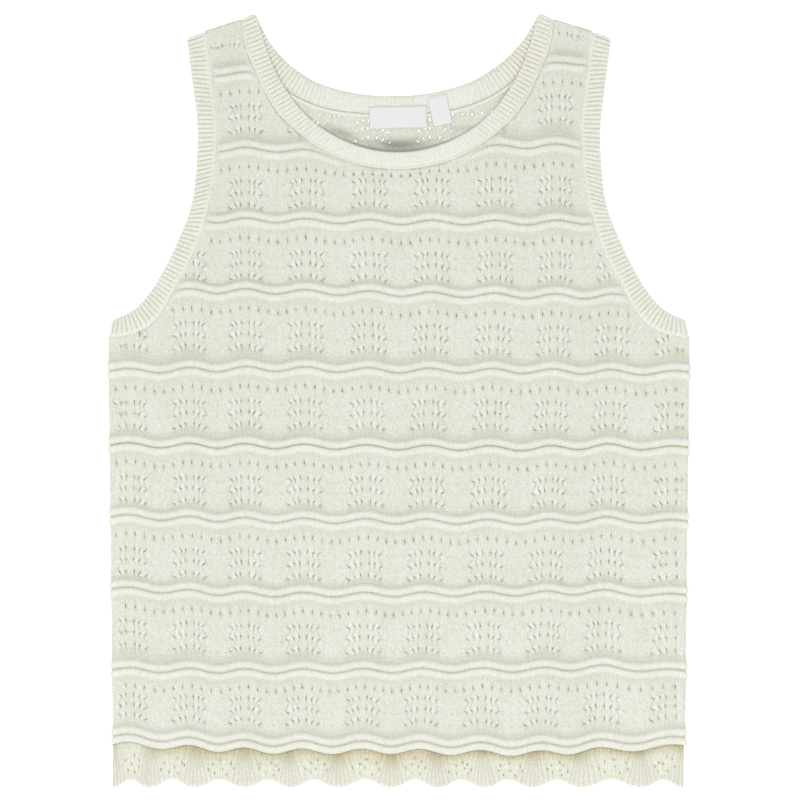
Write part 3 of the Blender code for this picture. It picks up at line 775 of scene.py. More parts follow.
class Knit:
    """A panel's knitting at each point of its grid: where the point lies in the pattern, how thick the wall
    is there, and how dark its painted shade is."""

    def __init__(self, side, rows, phase, places, lace, outline):
        self.side, self.lace = side, lace
        self.x, self.y = places[..., 0], places[..., 1]
        whole = np.ones(self.x.shape)
        self.steps = np.array([row[2] for row in rows])[:, None] * whole
        self.phase = phase * whole
        self.from_groove = np.minimum(self.steps, REPEAT - self.steps)
        numbers = np.array([row[3] for row in rows])[:, None]
        level = np.array(ROW_STEPS)[numbers]
        off_fan = np.abs(self.phase - np.round(self.phase))
        arcs = np.clip(sum(bell(level - ROW_STEPS[r], ARC_REACH) for r in ARC_ROWS), 0, 1)
        self.furrow = arcs * np.clip((FURROWS_END - off_fan) / FURROWS_FADE, 0, 1)
        dimples = sum(bell(off_fan - middle, DIMPLE_REACH) for middle in DIMPLE_PHASES)
        self.dimple = dimples * np.isin(numbers, ARC_ROWS)
        near_seam = nearest_points(outline.seams, places.reshape(-1, 2))[1].reshape(self.x.shape)
        self.taper = eased(np.clip(near_seam / SEAM_TAPER, 0, 1))

    def wall(self):
        """How thick the knitting is: flat at the seams, and rounded off at the folds and side seams."""
        lace_wall = self.side["lace_wall"]
        wall = welt_height(self.from_groove, lace_wall, self.side["ridge_wall"])
        off_ridge = np.clip((self.from_groove - RIDGE_STEPS[-1]) / 2, 0, 1)
        wall += FAN_SWELL * off_ridge * np.cos(2 * np.pi * self.phase)
        wall += STRAND_RISE * self.lace.strands - DIMPLE_DEPTH * self.dimple - RIM_DIP * self.lace.rims
        wall = lace_wall + (wall - lace_wall) * self.taper
        (inner_x, inner_y), (outer_x, outer_y) = SHOULDER_INNER, SHOULDER_OUTER
        slope = math.hypot(outer_x - inner_x, outer_y - inner_y) / (outer_x - inner_x)
        from_fold = (shoulder_y(self.x) - self.y) / slope
        from_side = np.abs(np.where(self.x < 0, self.x[:, :1], self.x[:, -1:])) - np.abs(self.x)
        return EDGE_LIP + (wall - EDGE_LIP) * rounded(np.minimum(from_fold, from_side) / EDGE_ROUND)

    def layers(self):
        """The outer and the inner face, as grids of points."""
        x, y = self.x, self.y
        if self.side is FRONT:
            inner = FRONT_UNDER + lift(x, y)
            outer = inner + self.wall()
        else:
            seam_level, lace_level = BACK_WALL - BACK_SEAM_DROP, BACK_LACE_LOW + self.side["lace_wall"]
            inner = lace_level + (seam_level - lace_level) * (1 - self.taper)
            inner -= NECK_FOLD_DEPTH * fold_depth(x, y) * self.taper
            outer = np.maximum(inner - self.wall(), LEAST_Z)
        return np.dstack([x, y, outer]), np.dstack([x, y, inner])

    def shade(self):
        """The painted shade of the points of the outer face, and then of the inner one: darker in grooves,
        valleys, furrows, dimples and round holes, lighter on ridges and raised strands.
        """
        on_ridge = np.clip((RIDGE_STEPS[-1] - self.from_groove) / RIDGE_FADE, 0, 1)
        above = self.steps > REPEAT / 2
        more = VALLEY_MORE * crest(self.phase) * above
        valley = bell(self.from_groove - VALLEY_AT - more, VALLEY_REACH + more)
        shade = SHADE["lace"] + (SHADE["ridge"] - SHADE["lace"]) * on_ridge
        shade += valley * np.where(above, SHADE["valley_above"], SHADE["valley_below"]) * (1 - on_ridge)
        shade = (shade + SHADE["furrow"] * self.furrow) * (1 - self.lace.strands)
        shade += SHADE["dimple"] * self.dimple
        groove = SHADE["groove"] * bell(self.from_groove, GROOVE_REACH)
        outer = SHADE["lace"] + (shade - SHADE["lace"] + groove) * self.taper
        # Painted shade on the inner faces, darker where the front panel covers them.
        hidden = Outline(NECK_FRONT).inside(np.dstack([self.x, self.y]).reshape(-1, 2))
        inner = SHADE["inside"] + SHADE["hidden"] * hidden
        rim = SHADE["rim"] * self.lace.rims.ravel()
        return np.clip(np.concatenate([outer.ravel() + rim, inner + rim]), 0, 1)

    def painted_fold_shade(self):
        """Painted shadow in the neckline's folds, as deep as each point lies in a fold: only the back's
        inner face has any.
        """
        deep = fold_depth(self.x, self.y).ravel() * (self.side is BACK)
        return np.concatenate([np.zeros(self.x.size), deep])

    def maps(self):
        """The stitch and bake maps of one face."""
        repeats = np.arange(len(self.steps))[:, None] // len(ROW_STEPS)
        stitch = np.dstack([self.phase * STITCHES_IN_FAN, -(self.steps + REPEAT * repeats) / KNIT_ROW])
        span = 4 * (CHEST_HALF_WIDTH + 2 * BAKE_EDGE)
        bake = np.dstack([self.x + CHEST_HALF_WIDTH + BAKE_EDGE, self.y - BORDER_LOW_Y + BAKE_EDGE]) / span
        return stitch, bake


def panel(side, finish):
    """A knitted panel in two pieces that meet in a welt's groove, its last row and its outline."""
    front = side is FRONT
    rows = panel_rows(side)
    outline = Outline(side["neck"])
    base, phase = panel_places(rows)
    if front:
        base[..., 1] -= neck_sag(base[..., 0], base[..., 1])
    lace = Lace(base, rows, outline, side)
    places, keep = clip_to(outline, lace.opened(), lace.keep)
    knit = Knit(side, rows, phase, places, lace, outline)
    layers, shade, painted_fold_shade, (stitch, bake) = knit.layers(), knit.shade(), knit.painted_fold_shade(), knit.maps()
    split = (SPLIT_WELT + 1) * len(ROW_STEPS)
    node = side["node"]
    pieces = []
    for part, first, last in (("upper", 0, split), ("lower", split, len(rows) - 1)):
        chosen = keep.copy()
        chosen[:first] = False
        chosen[last:] = False
        pieces.append(shell_piece(f"{node}_knit_{part}", node, "knit", layers, chosen, front, finish,
                                  stitch, bake, (0.5, 0.0), shade, painted_fold_shade))
    return pieces, places[-1], outline


def fold_depth(x, y):
    """How deep the back's inside lies in the soft folds along the neckline, as a share."""
    deep = np.zeros(x.shape)
    for fold in NECK_FOLDS:
        turn = math.radians(fold["turn"])
        dx, dy = x - fold["middle"][0], y - fold["middle"][1]
        along = dx * math.cos(turn) + dy * math.sin(turn)
        across = dy * math.cos(turn) - dx * math.sin(turn)
        near = (along / fold["reach"][0]) ** 2 + (across / fold["reach"][1]) ** 2
        deep += fold["depth"] * np.exp(-near)
    return deep


def cut_area(outline, low):
    """The flat area, in square millimetres, of the panel above this height."""
    line = outline.cut.copy()
    line[[0, -1], 0] = (-CHEST_HALF_WIDTH, CHEST_HALF_WIDTH)
    x, y = np.vstack([line, (CHEST_HALF_WIDTH, low), (-CHEST_HALF_WIDTH, low)]).T
    return abs((x * np.roll(y, -1) - y * np.roll(x, -1)).sum()) / 2


# ---------------------------------------------------------------- bands

# Across a band, round its section: share from the seam to the free edge, height share from the inner face
# to the outer one, how strongly the ribs show, and its painted shade. Ribs on the inner face lie between
# those on the outer one. The neckband has a rolled seam; the armhole bands start softly.
ROLLED_SEAM = (
    (-0.03, 0.45, 0.0, 0.4), (-0.02, 0.74, 0.0, 0.28), (0.02, 0.86, 0.0, 0.1), (0.07, 0.88, 0.0, 0.0),
    (0.115, 0.8, 0.0, 0.3), (0.16, 0.92, 0.5, 0.0),
)
SOFT_SEAM = (
    (-0.08, 0.46, 0.0, 0.08), (-0.06, 0.56, 0.0, 0.05), (0.0, 0.7, 0.1, 0.0), (0.06, 0.84, 0.4, 0.0),
    (0.11, 0.92, 0.7, 0.0), (0.16, 0.97, 0.9, 0.0),
)
RIBBED_EDGE = (
    (0.24, 1.0, 1.0, 0.0), (0.42, 1.0, 1.0, 0.0), (0.60, 1.0, 1.0, 0.0), (0.78, 1.0, 1.0, 0.0),
    (0.89, 0.96, 0.9, 0.0), (0.965, 0.80, 0.6, 0.0), (1.00, 0.50, 0.3, 0.1), (0.97, 0.20, -0.5, 0.2),
    (0.90, 0.05, -0.8, 0.1), (0.70, 0.0, -1.0, 0.0), (0.45, 0.0, -1.0, 0.0), (0.20, 0.0, -1.0, 0.0),
    (0.05, 0.04, -0.3, 0.2),
)
RIB_STATIONS = 8
RIB_DEPTH = 1.0
RIB_GROOVE = 0.14
# How round a band's free edge is at its folds.
SHOULDER_ROUND = 2.8
UNDERARM_ROUND = 4.5
FOLD_STATIONS = 15
# The neckband's ribs are stretched smooth by this share, this far from the middle, rising this fast.
NECK_STRETCH = 0.8
NECK_STRETCH_REACH = 75.0
NECK_STRETCH_RISE = 2.2
BAND_STATION = 0.5
STITCHES_IN_RIB = 2
BAND_STITCH_ROWS = 8


def across_fold(seam_end, free_end, towards):
    """The level direction at right angles to the fold's line, on the side of this direction."""
    along = free_end - seam_end
    normal = np.array((along[1], -along[0])) / np.linalg.norm(along)
    return normal if normal @ np.array(towards) > 0 else -normal


def layer_corners(seam, free, front):
    """Stations where the band lies flat, each as four points: outer seam and free, inner seam and free."""
    corners = []
    for level in (BAND_TOP, FRONT_UNDER) if front else (0.0, BACK_WALL):
        for line in (seam, free):
            raised = lift(*line.T) if front else np.zeros(len(line))
            corners.append(np.column_stack([line, level + raised]))
    return np.stack(corners, axis=1)


def fold_corners(front_end, back_end, towards):
    """Stations round the turn from the front layer to the back one."""
    axis_z = BACK_WALL + LAYER_GAP / 2
    stations = []
    for angle in np.radians(np.linspace(0, 180, FOLD_STATIONS)[1:-1]):
        share = angle / math.pi
        radius = (BAND_TOP - axis_z) * (1 - share) + axis_z * share
        below = min(1.0, 2 * share)
        ends = [f * (1 - below) + b * below for f, b in zip(front_end, back_end)]
        outward = across_fold(*ends, towards)
        station = []
        for r in (radius, LAYER_GAP / 2):
            z = axis_z + r * math.cos(angle)
            station += [(*(end + outward * r * math.sin(angle)), z) for end in ends]
        stations.append(station)
    return np.array(stations)


def band_corners(front, back, last_way, end):
    """Stations all round a band, each as four points. The first station comes again at the end."""
    front, back = facing_lines(*front, end), facing_lines(*back, end)
    loop = np.concatenate([
        layer_corners(*front, True),
        fold_corners((front[0][-1], front[1][-1]), (back[0][-1], back[1][-1]), last_way),
        layer_corners(*back, False)[::-1],
        fold_corners((front[0][0], front[1][0]), (back[0][0], back[1][0]), (0, 1))[::-1],
    ])
    return np.concatenate([loop, loop[:1]])


def fold_places(corners, along):
    """Where round the loop the band passes from the front to the back: its outer height changes there."""
    high = corners[:, 0, 2] > BACK_WALL + LAYER_GAP / 2
    return along[np.nonzero(high[1:] != high[:-1])[0]]


def rib_strength(x):
    """How clearly the ribs show: the neckband is stretched smooth round its bottom."""
    return 1 - NECK_STRETCH * np.clip(NECK_STRETCH_RISE * (1 - np.abs(x) / NECK_STRETCH_REACH), 0, 1)


def band_lines(front, back, last_way):
    """Four lines round a band, matched station by station: the outer face's seam and free edge, and the
    inner face's. The free edge's corners are rounded at the folds."""
    at_shoulder = last_way[0] == 0
    corners = band_corners(front, back, last_way, FOLD_INSET if at_shoulder else 0.0)
    along = steps_along(corners[:, :2].mean(axis=1))
    count = round(along[-1] / RIB_PITCH) * RIB_STATIONS
    at = np.linspace(0, along[-1], count, endpoint=False)
    outer_seam, outer_free, inner_seam, inner_free = (read_at(corners[:, k], at, along) for k in range(4))
    retreat = np.zeros(count)
    rounds = (SHOULDER_ROUND if at_shoulder else UNDERARM_ROUND), SHOULDER_ROUND
    for fold, corner in zip(fold_places(corners, along), rounds):
        to_fold = np.minimum(np.abs(at - fold), along[-1] - np.abs(at - fold))
        retreat = np.maximum(retreat, corner * (1 - rounded(to_fold / corner)))
    retreat = (retreat / np.linalg.norm(outer_free - outer_seam, axis=1))[:, None]
    outer_free += (outer_seam - outer_free) * retreat
    inner_free += (inner_seam - inner_free) * retreat
    return outer_seam, outer_free, inner_seam, inner_free


def band(node, front, back, last_way, finish, seam):
    """A ribbed band in one loop: along the front, round the last fold, back, and round the first fold at
    the shoulder. last_way is the level direction in which the last fold points."""
    outer_seam, outer_free, inner_seam, inner_free = band_lines(front, back, last_way)
    count = len(outer_seam)
    wall = np.linalg.norm(outer_seam - inner_seam, axis=1)
    ribbed = rib_strength(outer_seam[:, 0])
    turn = np.arange(count) / RIB_STATIONS
    off_groove = np.abs(turn - np.round(turn))
    points, shade, stitch = [], [], []
    for share, height, rib, deep in seam + RIBBED_EDGE:
        groove = bell(off_groove if rib >= 0 else 0.5 - off_groove, RIB_GROOVE)
        level = height - rib * RIB_DEPTH * groove * ribbed / wall
        outer = outer_seam * (1 - share) + outer_free * share
        inner = inner_seam * (1 - share) + inner_free * share
        points.append(inner + (outer - inner) * level[:, None])
        # Painted shade in the ribs' grooves, added to the section's own painted shade.
        dark = abs(rib) * SHADE["rib_groove"] * ribbed * groove**2
        shade.append(np.clip(SHADE["rib_crown"] + deep + dark, 0, 1))
        stitch.append(np.column_stack([turn * STITCHES_IN_RIB, np.full(count, share * BAND_STITCH_ROWS)]))
    ring = len(points)
    bake = np.dstack(np.meshgrid(np.arange(count) / count, np.arange(ring) / ring, indexing="ij"))
    return tube_piece(f"{node}_rib", node, np.stack(points, axis=1), True, finish,
                      np.stack(stitch, axis=1), bake, np.stack(shade, axis=1))


# The trim runs below the back's neck seam, with blunt ends.
TRIM_DROP = 1.2
TRIM_WIDTH = 1.9
TRIM_HEIGHTS = (BACK_WALL - 0.45, BACK_WALL + 0.25)
TRIM_REACH = 74.0
TRIM_RING = 12
TRIM_BLUNT = 0.1
TRIM_STITCH = 1.4
TRIM_STITCH_ROWS = 3


def neck_trim(finish):
    """The narrow knitted edging that covers the back neckband's seam on the inside."""
    seam = seam_line(neck_points(NECK_BACK))
    seam = seam[np.abs(seam[:, 0]) < TRIM_REACH]
    along = np.gradient(seam, axis=0)
    along /= np.linalg.norm(along, axis=1)[:, None]
    down = np.column_stack([along[:, 1], -along[:, 0]])
    low, high = TRIM_HEIGHTS
    ends = np.sin(np.linspace(0, math.pi, len(seam))) ** TRIM_BLUNT
    points = []
    for angle in np.linspace(0, 2 * math.pi, TRIM_RING, endpoint=False):
        place = seam + down * (TRIM_DROP + TRIM_WIDTH / 2 * math.cos(angle) * ends)[:, None]
        z = (low + high) / 2 + (high - low) / 2 * math.sin(angle) * ends
        points.append(np.column_stack([place, z]))
    steps, around = np.meshgrid(steps_along(seam), np.arange(TRIM_RING) / TRIM_RING, indexing="ij")
    stitch = np.dstack([steps / TRIM_STITCH, around * TRIM_STITCH_ROWS])
    bake = np.dstack([steps / steps[-1, 0], around])
    shade = np.full(steps.shape, SHADE["rib_crown"])
    return tube_piece("neck_trim_rib", "neck_band", np.stack(points, axis=1), False, finish,
                      stitch, bake, shade)


# ---------------------------------------------------------------- hem borders

SCALLOPS = len(SCALLOP_X) - 1
BORDER_WALL = 1.2
BORDER_TOP_WALL = 0.4
BORDER_TOP_REACH = 0.16
BORDER_TOP_GAP = 0.1
BORDER_RIB = 0.6
BORDER_RIBS = 10
# The ribs fade out between the fans, and grow higher towards the scallops' edge.
RIBS_EDGE = 3.2
RIBS_FADE = 7.0
RIB_AT_TOP = 0.1
RIB_GROWTH = 1.2
BORDER_COLUMNS = 60
BORDER_ROWS = 24
ROWS_CLOSING = 1.1
# How far each fan's ribs gather towards its middle at the top, and how unevenly both lie from fan to fan.
BORDER_GATHER = 0.66
GATHER_UNEVEN = 0.1
GATHER_FADE = 5
MIDDLE_WANDER = 1.6
# The rolled rim: how high, how far from the edge and how wide. The edge itself is rounded over EDGE_CURVE.
BORDER_LENGTH = 21
BORDER_RIM = 0.3
RIM_AT = 1.0
RIM_REACH = 0.7
RIM_LESS_ON_RIBS = 0.5
EDGE_CURVE = 1.6
# Eyelets between two fans: how far from the joint, as a share of a scallop, and how far down.
BORDER_HOLES = ((0.02, 0.30), (0.10, 0.42), (-0.09, 0.44), (0.16, 0.56), (-0.16, 0.58), (0.02, 0.56),
                (0.08, 0.76), (-0.07, 0.74))
BORDER_EYELET = {"half": 0.2, "half_at_ends": 0.128, "length": 0.9, "wander": 0.035}
BACK_BORDER_EYELET_SIZE = 0.6
BACK_BORDER_HOLES_ASIDE = 0.04
# Between two fans lies a net: how wide its meshes are and how high its knots.
NET_MESH = 3.3
NET_RISE = 0.4
# The painted shadow of the last welt on the border: how dark, least at the left end, and how far down
# as a share.
BORDER_TOP_SHADE = ((-150.0, 0.12), (-128.0, 0.5))
TOP_SHADE_REACH = 0.28
TOP_SHADE_UNEVEN = 0.09
BORDER_STITCHES = (14, 16)
BORDER_BAKE = {"corner": (170, 226), "span": 340}


def uneven(count, seed, amount):
    """Small seeded differences, since hand-sized fans are never alike."""
    return np.random.default_rng(seed).uniform(-amount, amount, count)


class Fans(Holes):
    """A border's grid. Ribs fan out from above the middle of each scallop, with eyelets between fans."""

    def __init__(self, top_edge, front):
        self.turn = np.linspace(0, SCALLOPS, SCALLOPS * BORDER_COLUMNS + 1)
        self.share = 1 - (1 - np.linspace(0, 1, BORDER_ROWS)[:, None]) ** ROWS_CLOSING
        fan = np.round(self.turn).astype(int)
        self.off_middle = np.abs(self.turn - fan)
        middle = (np.array(SCALLOP_X) + uneven(SCALLOPS + 1, 5, MIDDLE_WANDER))[fan]
        gather = (BORDER_GATHER + uneven(SCALLOPS + 1, 6, GATHER_UNEVEN))[fan] * (1 - self.share)
        gather = gather * np.clip(GATHER_FADE * (0.5 - self.off_middle), 0, 1)
        rim = np.interp(self.turn, np.arange(SCALLOPS + 1), SCALLOP_X)
        xs = rim + (middle - rim) * gather
        xs[:, [0, -1]] = rim[[0, -1]]
        top = np.interp(xs, *top_edge.T) - BORDER_TOP_GAP
        super().__init__(np.dstack([xs, top * (1 - self.share) + scallop_y(rim) * self.share]))
        self.fixed[[0, 1, -1, -2]] = True
        self.fixed[:, [0, 1, -1, -2]] = True
        self.punch_joints(front)

    def punch_joints(self, front):
        """Opens the eyelets between the fans, each a little out of its place."""
        seed, aside, size = (7, 0.0, 1.0) if front else (8, BACK_BORDER_HOLES_ASIDE, BACK_BORDER_EYELET_SIZE)
        wander = uneven((SCALLOPS, len(BORDER_HOLES), 2), seed, BORDER_EYELET["wander"]) + aside
        for joint in range(SCALLOPS):
            for (across, down), (more_across, more_down) in zip(BORDER_HOLES, wander[joint]):
                c = round((joint + 0.5 + across + more_across) * BORDER_COLUMNS)
                r = int(np.argmin(np.abs(self.share[:, 0] - down - more_down)))
                if not self.fixed[r - 1:r + 2, c:c + 3].any():
                    self.punch(r, c, size)

    def punch(self, r, c, size):
        """Opens an eyelet in this row, over two columns."""
        for dr in (-1, 0, 1):
            half = size * BORDER_EYELET["half_at_ends" if dr else "half"]
            for dc in (-1, 0, 1):
                place = self.grid[r, c + 1] + (dc * half, -dr * BORDER_EYELET["length"] / 2)
                self.settle(r + dr, c + 1 + dc, place, 1.0)
        self.keep[r - 1:r + 1, c:c + 2] = False

    def relief(self, x, y):
        """How thick the border is, and its painted shade, at each point of the opened grid."""
        share = self.share
        ribbed = np.clip(RIBS_EDGE - RIBS_FADE * self.off_middle, 0, 1)
        rib = crest(self.off_middle * BORDER_RIBS)
        net = (1 - ribbed) * np.sin(np.pi * (x + y) / NET_MESH) * np.sin(np.pi * (x - y) / NET_MESH)
        from_rim = (1 - share) * BORDER_LENGTH
        rolled = bell(from_rim - RIM_AT, RIM_REACH)
        rise = np.clip(share / BORDER_TOP_REACH, 0, 1)
        wall = BORDER_TOP_WALL + (BORDER_WALL - BORDER_TOP_WALL) * eased(rise)
        wall = wall + BORDER_RIB * rib * ribbed * np.clip(RIB_AT_TOP + RIB_GROWTH * share, 0, 1)
        wall = wall + NET_RISE * np.clip(net, 0, 1) * rise
        wall = wall + BORDER_RIM * rolled * (1 - RIM_LESS_ON_RIBS * ribbed)
        from_side = np.minimum(x - x[:, :1], x[:, -1:] - x)
        lip = rounded(np.minimum(from_rim, from_side) / EDGE_CURVE)

        # Painted shade: darker in the ribs' grooves, lighter on their crowns and the rolled rim, lighter on
        # the net's knots and darker between them.
        shade = (SHADE["border_rib"] * (1 - rib) ** 2 - SHADE["border_crown"]) * ribbed * lip
        shade = SHADE["border"] + shade - SHADE["border_rim"] * rolled - SHADE["net"] * net * (1 - rolled)
        # Painted shadow of the last welt along the border's top, and painted shade round the eyelets.
        unevenness = uneven(SCALLOPS + 1, 9, TOP_SHADE_UNEVEN)
        reach = TOP_SHADE_REACH + np.interp(self.turn, np.arange(SCALLOPS + 1), unevenness)
        under_welt = np.interp(x, *zip(*BORDER_TOP_SHADE)) * bell(share, reach)
        shade = np.clip(shade + under_welt + SHADE["rim"] * self.rims, 0, 1)
        return EDGE_LIP + (wall - EDGE_LIP) * lip, shade


def border(node, top_edge, finish, front):
    """A scalloped border under a panel's last row."""
    fans = Fans(top_edge, front)
    places = fans.opened()
    wall, shade = fans.relief(places[..., 0], places[..., 1])
    low, way = (FRONT_UNDER, 1) if front else (BACK_WALL, -1)
    whole = np.ones(wall.shape)
    layers = np.dstack([places, low + way * wall]), np.dstack([places, low * whole])
    stitch = np.dstack([fans.turn * whole, fans.share * whole]) * BORDER_STITCHES
    bake = (places + BORDER_BAKE["corner"]) / BORDER_BAKE["span"]
    shade = np.concatenate([shade.ravel(), SHADE["inside"] * whole.ravel()])
    return shell_piece(f"{node}_knit", node, "knit", layers, fans.keep, front, finish,
                       stitch, bake, (0.0, 0.5), shade)


# ---------------------------------------------------------------- labels

LABEL_COLUMNS = 48
LABEL_ROWS = 24
LABEL_RISE = 0.55
LABEL_EDGE = 0.5
LABEL_WAVE = 0.1
LABEL_WAVE_LENGTH = 21


def label(node, place, finish):
    """A folded woven tape label with rounded edges."""
    width, height = place["size"]
    angle = math.radians(place["turn"])
    x, y = np.meshgrid(np.linspace(-width / 2, width / 2, LABEL_COLUMNS),
                       np.linspace(height / 2, -height / 2, LABEL_ROWS))
    edge = rounded(np.minimum(width / 2 - np.abs(x), height / 2 - np.abs(y)) / LABEL_EDGE)
    wall = EDGE_LIP + (LABEL_RISE + LABEL_WAVE * np.cos(2 * np.pi * x / LABEL_WAVE_LENGTH)) * edge
    xs = place["middle"][0] + x * math.cos(angle) - y * math.sin(angle)
    ys = place["middle"][1] + x * math.sin(angle) + y * math.cos(angle)
    layers = np.dstack([xs, ys, FRONT_UNDER + wall]), np.dstack([xs, ys, FRONT_UNDER * np.ones(x.shape)])
    stitch = np.dstack([x, y])
    bake = (stitch + (width / 2, height / 2)) / (2 * max(width, height))
    whole = np.ones((LABEL_ROWS - 1, LABEL_COLUMNS - 1), bool)
    return shell_piece(f"{node}_tape", node, "label_tape", layers, whole, True, finish,
                       stitch, bake, (0.0, 0.5), np.zeros(2 * x.size))


# ---------------------------------------------------------------- materials

class Nodes:
    """Short ways to add nodes to a material."""

    def __init__(self, name):
        self.material = bpy.data.materials.new(name)
        self.material.use_nodes = True
        self.tree = self.material.node_tree
        self.shader = self.tree.nodes["Principled BSDF"]

    def add(self, kind, **settings):
        node = self.tree.nodes.new(kind)
        for key, value in settings.items():
            setattr(node, key, value)
        return node

    def put(self, node, inputs):
        """Sets or links these inputs of a node."""
        for key, value in inputs.items():
            if isinstance(value, bpy.types.NodeSocket):
                self.tree.links.new(value, node.inputs[key])
            else:
                node.inputs[key].default_value = value

    def math(self, operation, *values):
        node = self.add("ShaderNodeMath", operation=operation)
        self.put(node, dict(enumerate(values)))
        return node.outputs[0]

    def spread(self, value, middle, amount):
        """How far the value lies from its middle, times this amount."""
        return self.math("MULTIPLY", self.math("SUBTRACT", value, middle), amount)

    def wander(self, scale, detail, amount):
        """Noise round 0, of this strength."""
        return self.spread(self.noise(scale, detail), 0.5, amount)

    def mix(self, share, low, high):
        node = self.add("ShaderNodeMix", data_type="RGBA")
        self.put(node, {0: share, 6: low, 7: high})
        return node.outputs[2]

    def attribute(self, name):
        return self.add("ShaderNodeAttribute", attribute_name=name).outputs["Fac"]

    def uv(self, name):
        split = self.add("ShaderNodeSeparateXYZ")
        self.put(split, {0: self.add("ShaderNodeUVMap", uv_map=name).outputs[0]})
        return split.outputs[0], split.outputs[1]

    def noise(self, scale, detail, rough=0.5):
        node = self.add("ShaderNodeTexNoise")
        place = self.add("ShaderNodeTexCoord").outputs["Object"]
        self.put(node, {"Vector": place, "Scale": scale, "Detail": detail, "Roughness": rough})
        return node.outputs[0]

    def bump(self, height, distance, strength, **under):
        """A bump's normal; under may hold the Normal that it rests on."""
        node = self.add("ShaderNodeBump")
        self.put(node, {"Height": height, "Distance": distance, "Strength": strength, **under})
        return node.outputs[0]


STITCH_SLANT = 0.9
STITCH_JOINT = 0.45
# Noise in the yarn: the stitches' sway, patches and specks of another shade, and fuzz.
SWAY = {"scale": 260.0, "detail": 1.0, "amount": 0.9}
PATCHES = {"scale": 55.0, "detail": 4.0, "amount": 0.2}
SPECKS = {"scale": 800.0, "detail": 1.0, "amount": 0.6}
FUZZ = {"scale": 2600.0, "detail": 3.0, "rough": 0.65}
FUZZ_HEIGHT = 0.00012
# How much painted shade lies between the stitches.
BETWEEN_STITCHES = 0.3
WARP_PITCH = 0.35
WEFT_PITCH = 0.28


def knit_height(n, columns, rows, slant):
    """The height of plain knitting: two slanted legs to a stitch, from stitch coordinates."""
    across = n.math("FRACT", columns)
    from_middle = n.math("ABSOLUTE", n.math("SUBTRACT", across, 0.5))
    leg = n.math("SINE", n.math("MULTIPLY", from_middle, 2 * math.pi))
    row = n.math("ADD", rows, n.math("MULTIPLY", from_middle, slant))
    loop = n.math("ABSOLUTE", n.math("SINE", n.math("MULTIPLY", row, math.pi)))
    return n.math("MULTIPLY", leg, n.math("ADD", STITCH_JOINT, n.math("MULTIPLY", loop, 1 - STITCH_JOINT)))


def yarn_material(name, middle, bump):
    """Ivory cotton yarn in plain knitting, with painted shade: lighter on crowns, painted tan where it lies
    deep, darker between stitches, and painted shadow in the neckline's folds.
    """
    n = Nodes(name)
    columns, rows = n.uv("stitch")
    sway = n.wander(**SWAY)
    height = knit_height(n, n.math("ADD", columns, sway), n.math("ADD", rows, sway), STITCH_SLANT)
    # Painted shade between the stitches' legs.
    between = n.spread(height, 0.6, -BETWEEN_STITCHES)
    uneven_shade = n.math("ADD", n.wander(**PATCHES), n.wander(**SPECKS))
    deep = n.math("ADD", n.math("ADD", n.attribute("shade"), between), uneven_shade)
    clamp = n.add("ShaderNodeClamp")
    n.put(clamp, {0: deep})
    twice = n.math("MULTIPLY", clamp.outputs[0], 2.0)
    upper = n.mix(twice, YARN_LIGHT, middle)
    yarn = n.mix(n.math("SUBTRACT", twice, 1.0), upper, PAINTED_SHADE_DEEP)
    fuzz = n.bump(n.noise(**FUZZ), FUZZ_HEIGHT, 0.5)
    n.put(n.shader, {
        "Base Color": n.mix(n.attribute("painted_fold_shade"), yarn, PAINTED_FOLD_SHADE_COLOUR),
        "Normal": n.bump(height, bump, 0.6, Normal=fuzz),
        "Roughness": 0.88,
        "Specular IOR Level": 0.2,
        "Sheen Weight": 0.15,
        "Sheen Roughness": 0.45,
    })
    return n.material


def tape_material():
    """Cool white woven tape, painted darker between its threads as painted shade."""
    n = Nodes("label_tape")
    across, along = n.uv("stitch")
    warp = n.math("ABSOLUTE", n.math("SINE", n.math("MULTIPLY", across, math.pi / WARP_PITCH)))
    weft = n.math("ABSOLUTE", n.math("SINE", n.math("MULTIPLY", along, math.pi / WEFT_PITCH)))
    weave = n.math("MAXIMUM", warp, weft)
    n.put(n.shader, {
        "Base Color": n.mix(n.spread(weave, 1.0, -0.3), TAPE, TAPE_PAINTED_SHADE),
        "Normal": n.bump(weave, 0.00008, 0.6),
        "Roughness": 0.55,
        "Sheen Weight": 0.1,
    })
    return n.material


def table_material():
    """The white table, which glows so that it comes out nearly white."""
    n = Nodes("white_table")
    n.put(n.shader, {
        "Base Color": (0.92, 0.92, 0.92, 1.0),
        "Roughness": 0.9,
        "Emission Color": (1.0, 1.0, 1.0, 1.0),
        "Emission Strength": 0.8,
    })
    return n.material


# ---------------------------------------------------------------- stage, light and camera

FLOOR_HALF = 3.0
FLOOR_Z = -0.0002
LAMP_PLACE = (-0.1, -0.55, 1.7)
LAMP_SIZE = (1.2, 0.8)
LAMP_POWER = 13.0
SKY_STRENGTH = 0.7


def set_stage():
    mesh = bpy.data.meshes.new("floor")
    corners = [(x * FLOOR_HALF, y * FLOOR_HALF, 0) for x, y in ((-1, -1), (1, -1), (1, 1), (-1, 1))]
    mesh.from_pydata(corners, [], [(0, 1, 2, 3)])
    mesh.materials.append(table_material())
    floor = bpy.data.objects.new("floor", mesh)
    floor.location.z = FLOOR_Z
    bpy.context.scene.collection.objects.link(floor)


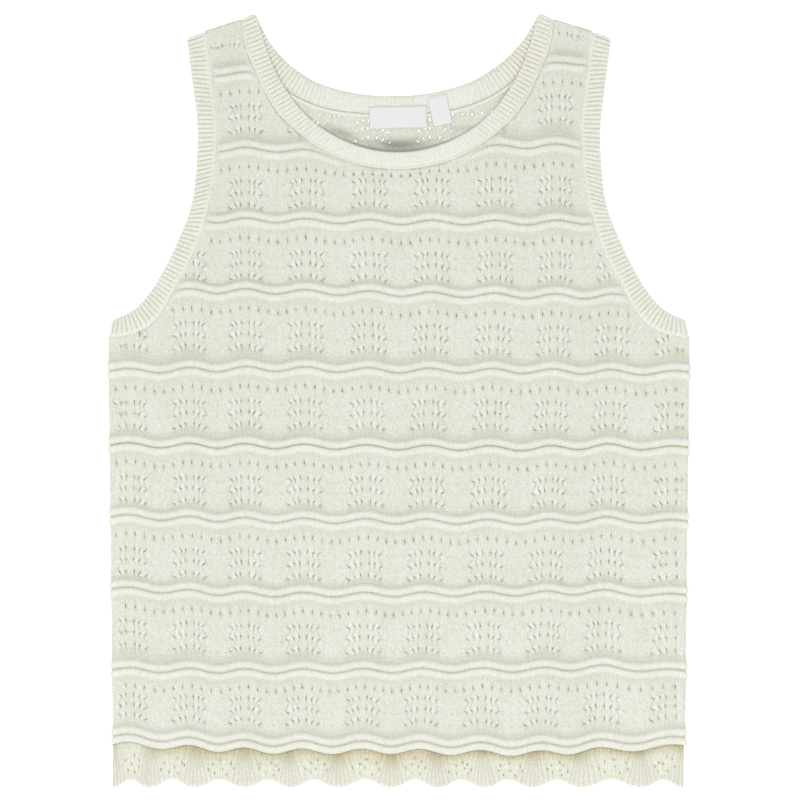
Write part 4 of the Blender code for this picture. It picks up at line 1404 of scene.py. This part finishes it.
def set_light():
    """A white sky and one large lamp, turned to the middle of the table."""
    world = bpy.data.worlds.new("studio")
    world.use_nodes = True
    sky = world.node_tree.nodes["Background"]
    sky.inputs["Color"].default_value = (1.0, 1.0, 1.0, 1.0)
    sky.inputs["Strength"].default_value = SKY_STRENGTH
    bpy.context.scene.world = world
    lamp = bpy.data.lights.new("key", "AREA")
    lamp.shape = "RECTANGLE"
    lamp.size, lamp.size_y = LAMP_SIZE
    lamp.energy = LAMP_POWER
    holder = bpy.data.objects.new("key", lamp)
    holder.location = LAMP_PLACE
    x, y, z = LAMP_PLACE
    holder.rotation_euler = (math.atan2(math.hypot(x, y), z), 0.0, math.atan2(-x, y) + math.pi)
    bpy.context.scene.collection.objects.link(holder)
    bpy.context.scene.view_settings.view_transform = "Standard"


# The picture is this wide at the height of the cloth.
FRAME_WIDTH = 0.460
CAMERA_HEIGHT = 2.2
CLOTH_Z = 0.004
SENSOR = 36.0
CAMERA_X = 0.000575


def set_camera():
    lens = bpy.data.cameras.new("camera")
    lens.sensor_width = SENSOR
    lens.lens = SENSOR * CAMERA_HEIGHT / FRAME_WIDTH
    holder = bpy.data.objects.new("camera", lens)
    holder.location = (CAMERA_X, 0.0, CAMERA_HEIGHT + CLOTH_Z)
    bpy.context.scene.collection.objects.link(holder)
    bpy.context.scene.camera = holder


# ---------------------------------------------------------------- the top


def main():
    knit = yarn_material("ivory_knit", YARN_MIDDLE, 0.0004)
    rib = yarn_material("ivory_rib", RIB_MIDDLE, 0.00022)
    edging = yarn_material("ivory_border", BORDER_MIDDLE, 0.0004)
    tape = tape_material()

    front, front_edge, front_outline = panel(FRONT, knit)
    back, back_edge, back_outline = panel(BACK, knit)
    neck = band("neck_band", neck_points(NECK_FRONT), neck_points(NECK_BACK), (0, 1), rib, ROLLED_SEAM)
    trim = neck_trim(rib)
    for side, hand in ((-1, "left"), (1, "right")):
        line = armhole_points(side)
        band(f"armhole_band_{hand}", line, line, (side, 0), rib, SOFT_SEAM)
    front_border = border("hem_border_front", front_edge, edging, True)
    back_border = border("hem_border_back", back_edge, edging, False)
    neck_tape = label("neck_label", NECK_LABEL, tape)
    size_tape = label("size_label", SIZE_LABEL, tape)

    split_y, end_y = WELTS[SPLIT_WELT]["y"], WELTS[-1]["y"] + WELT_END
    for pieces, outline, under in ((front, front_outline, ["back_panel"]), (back, back_outline, [])):
        cut_area(outline, split_y)

    set_stage()
    set_light()
    set_camera()


main()
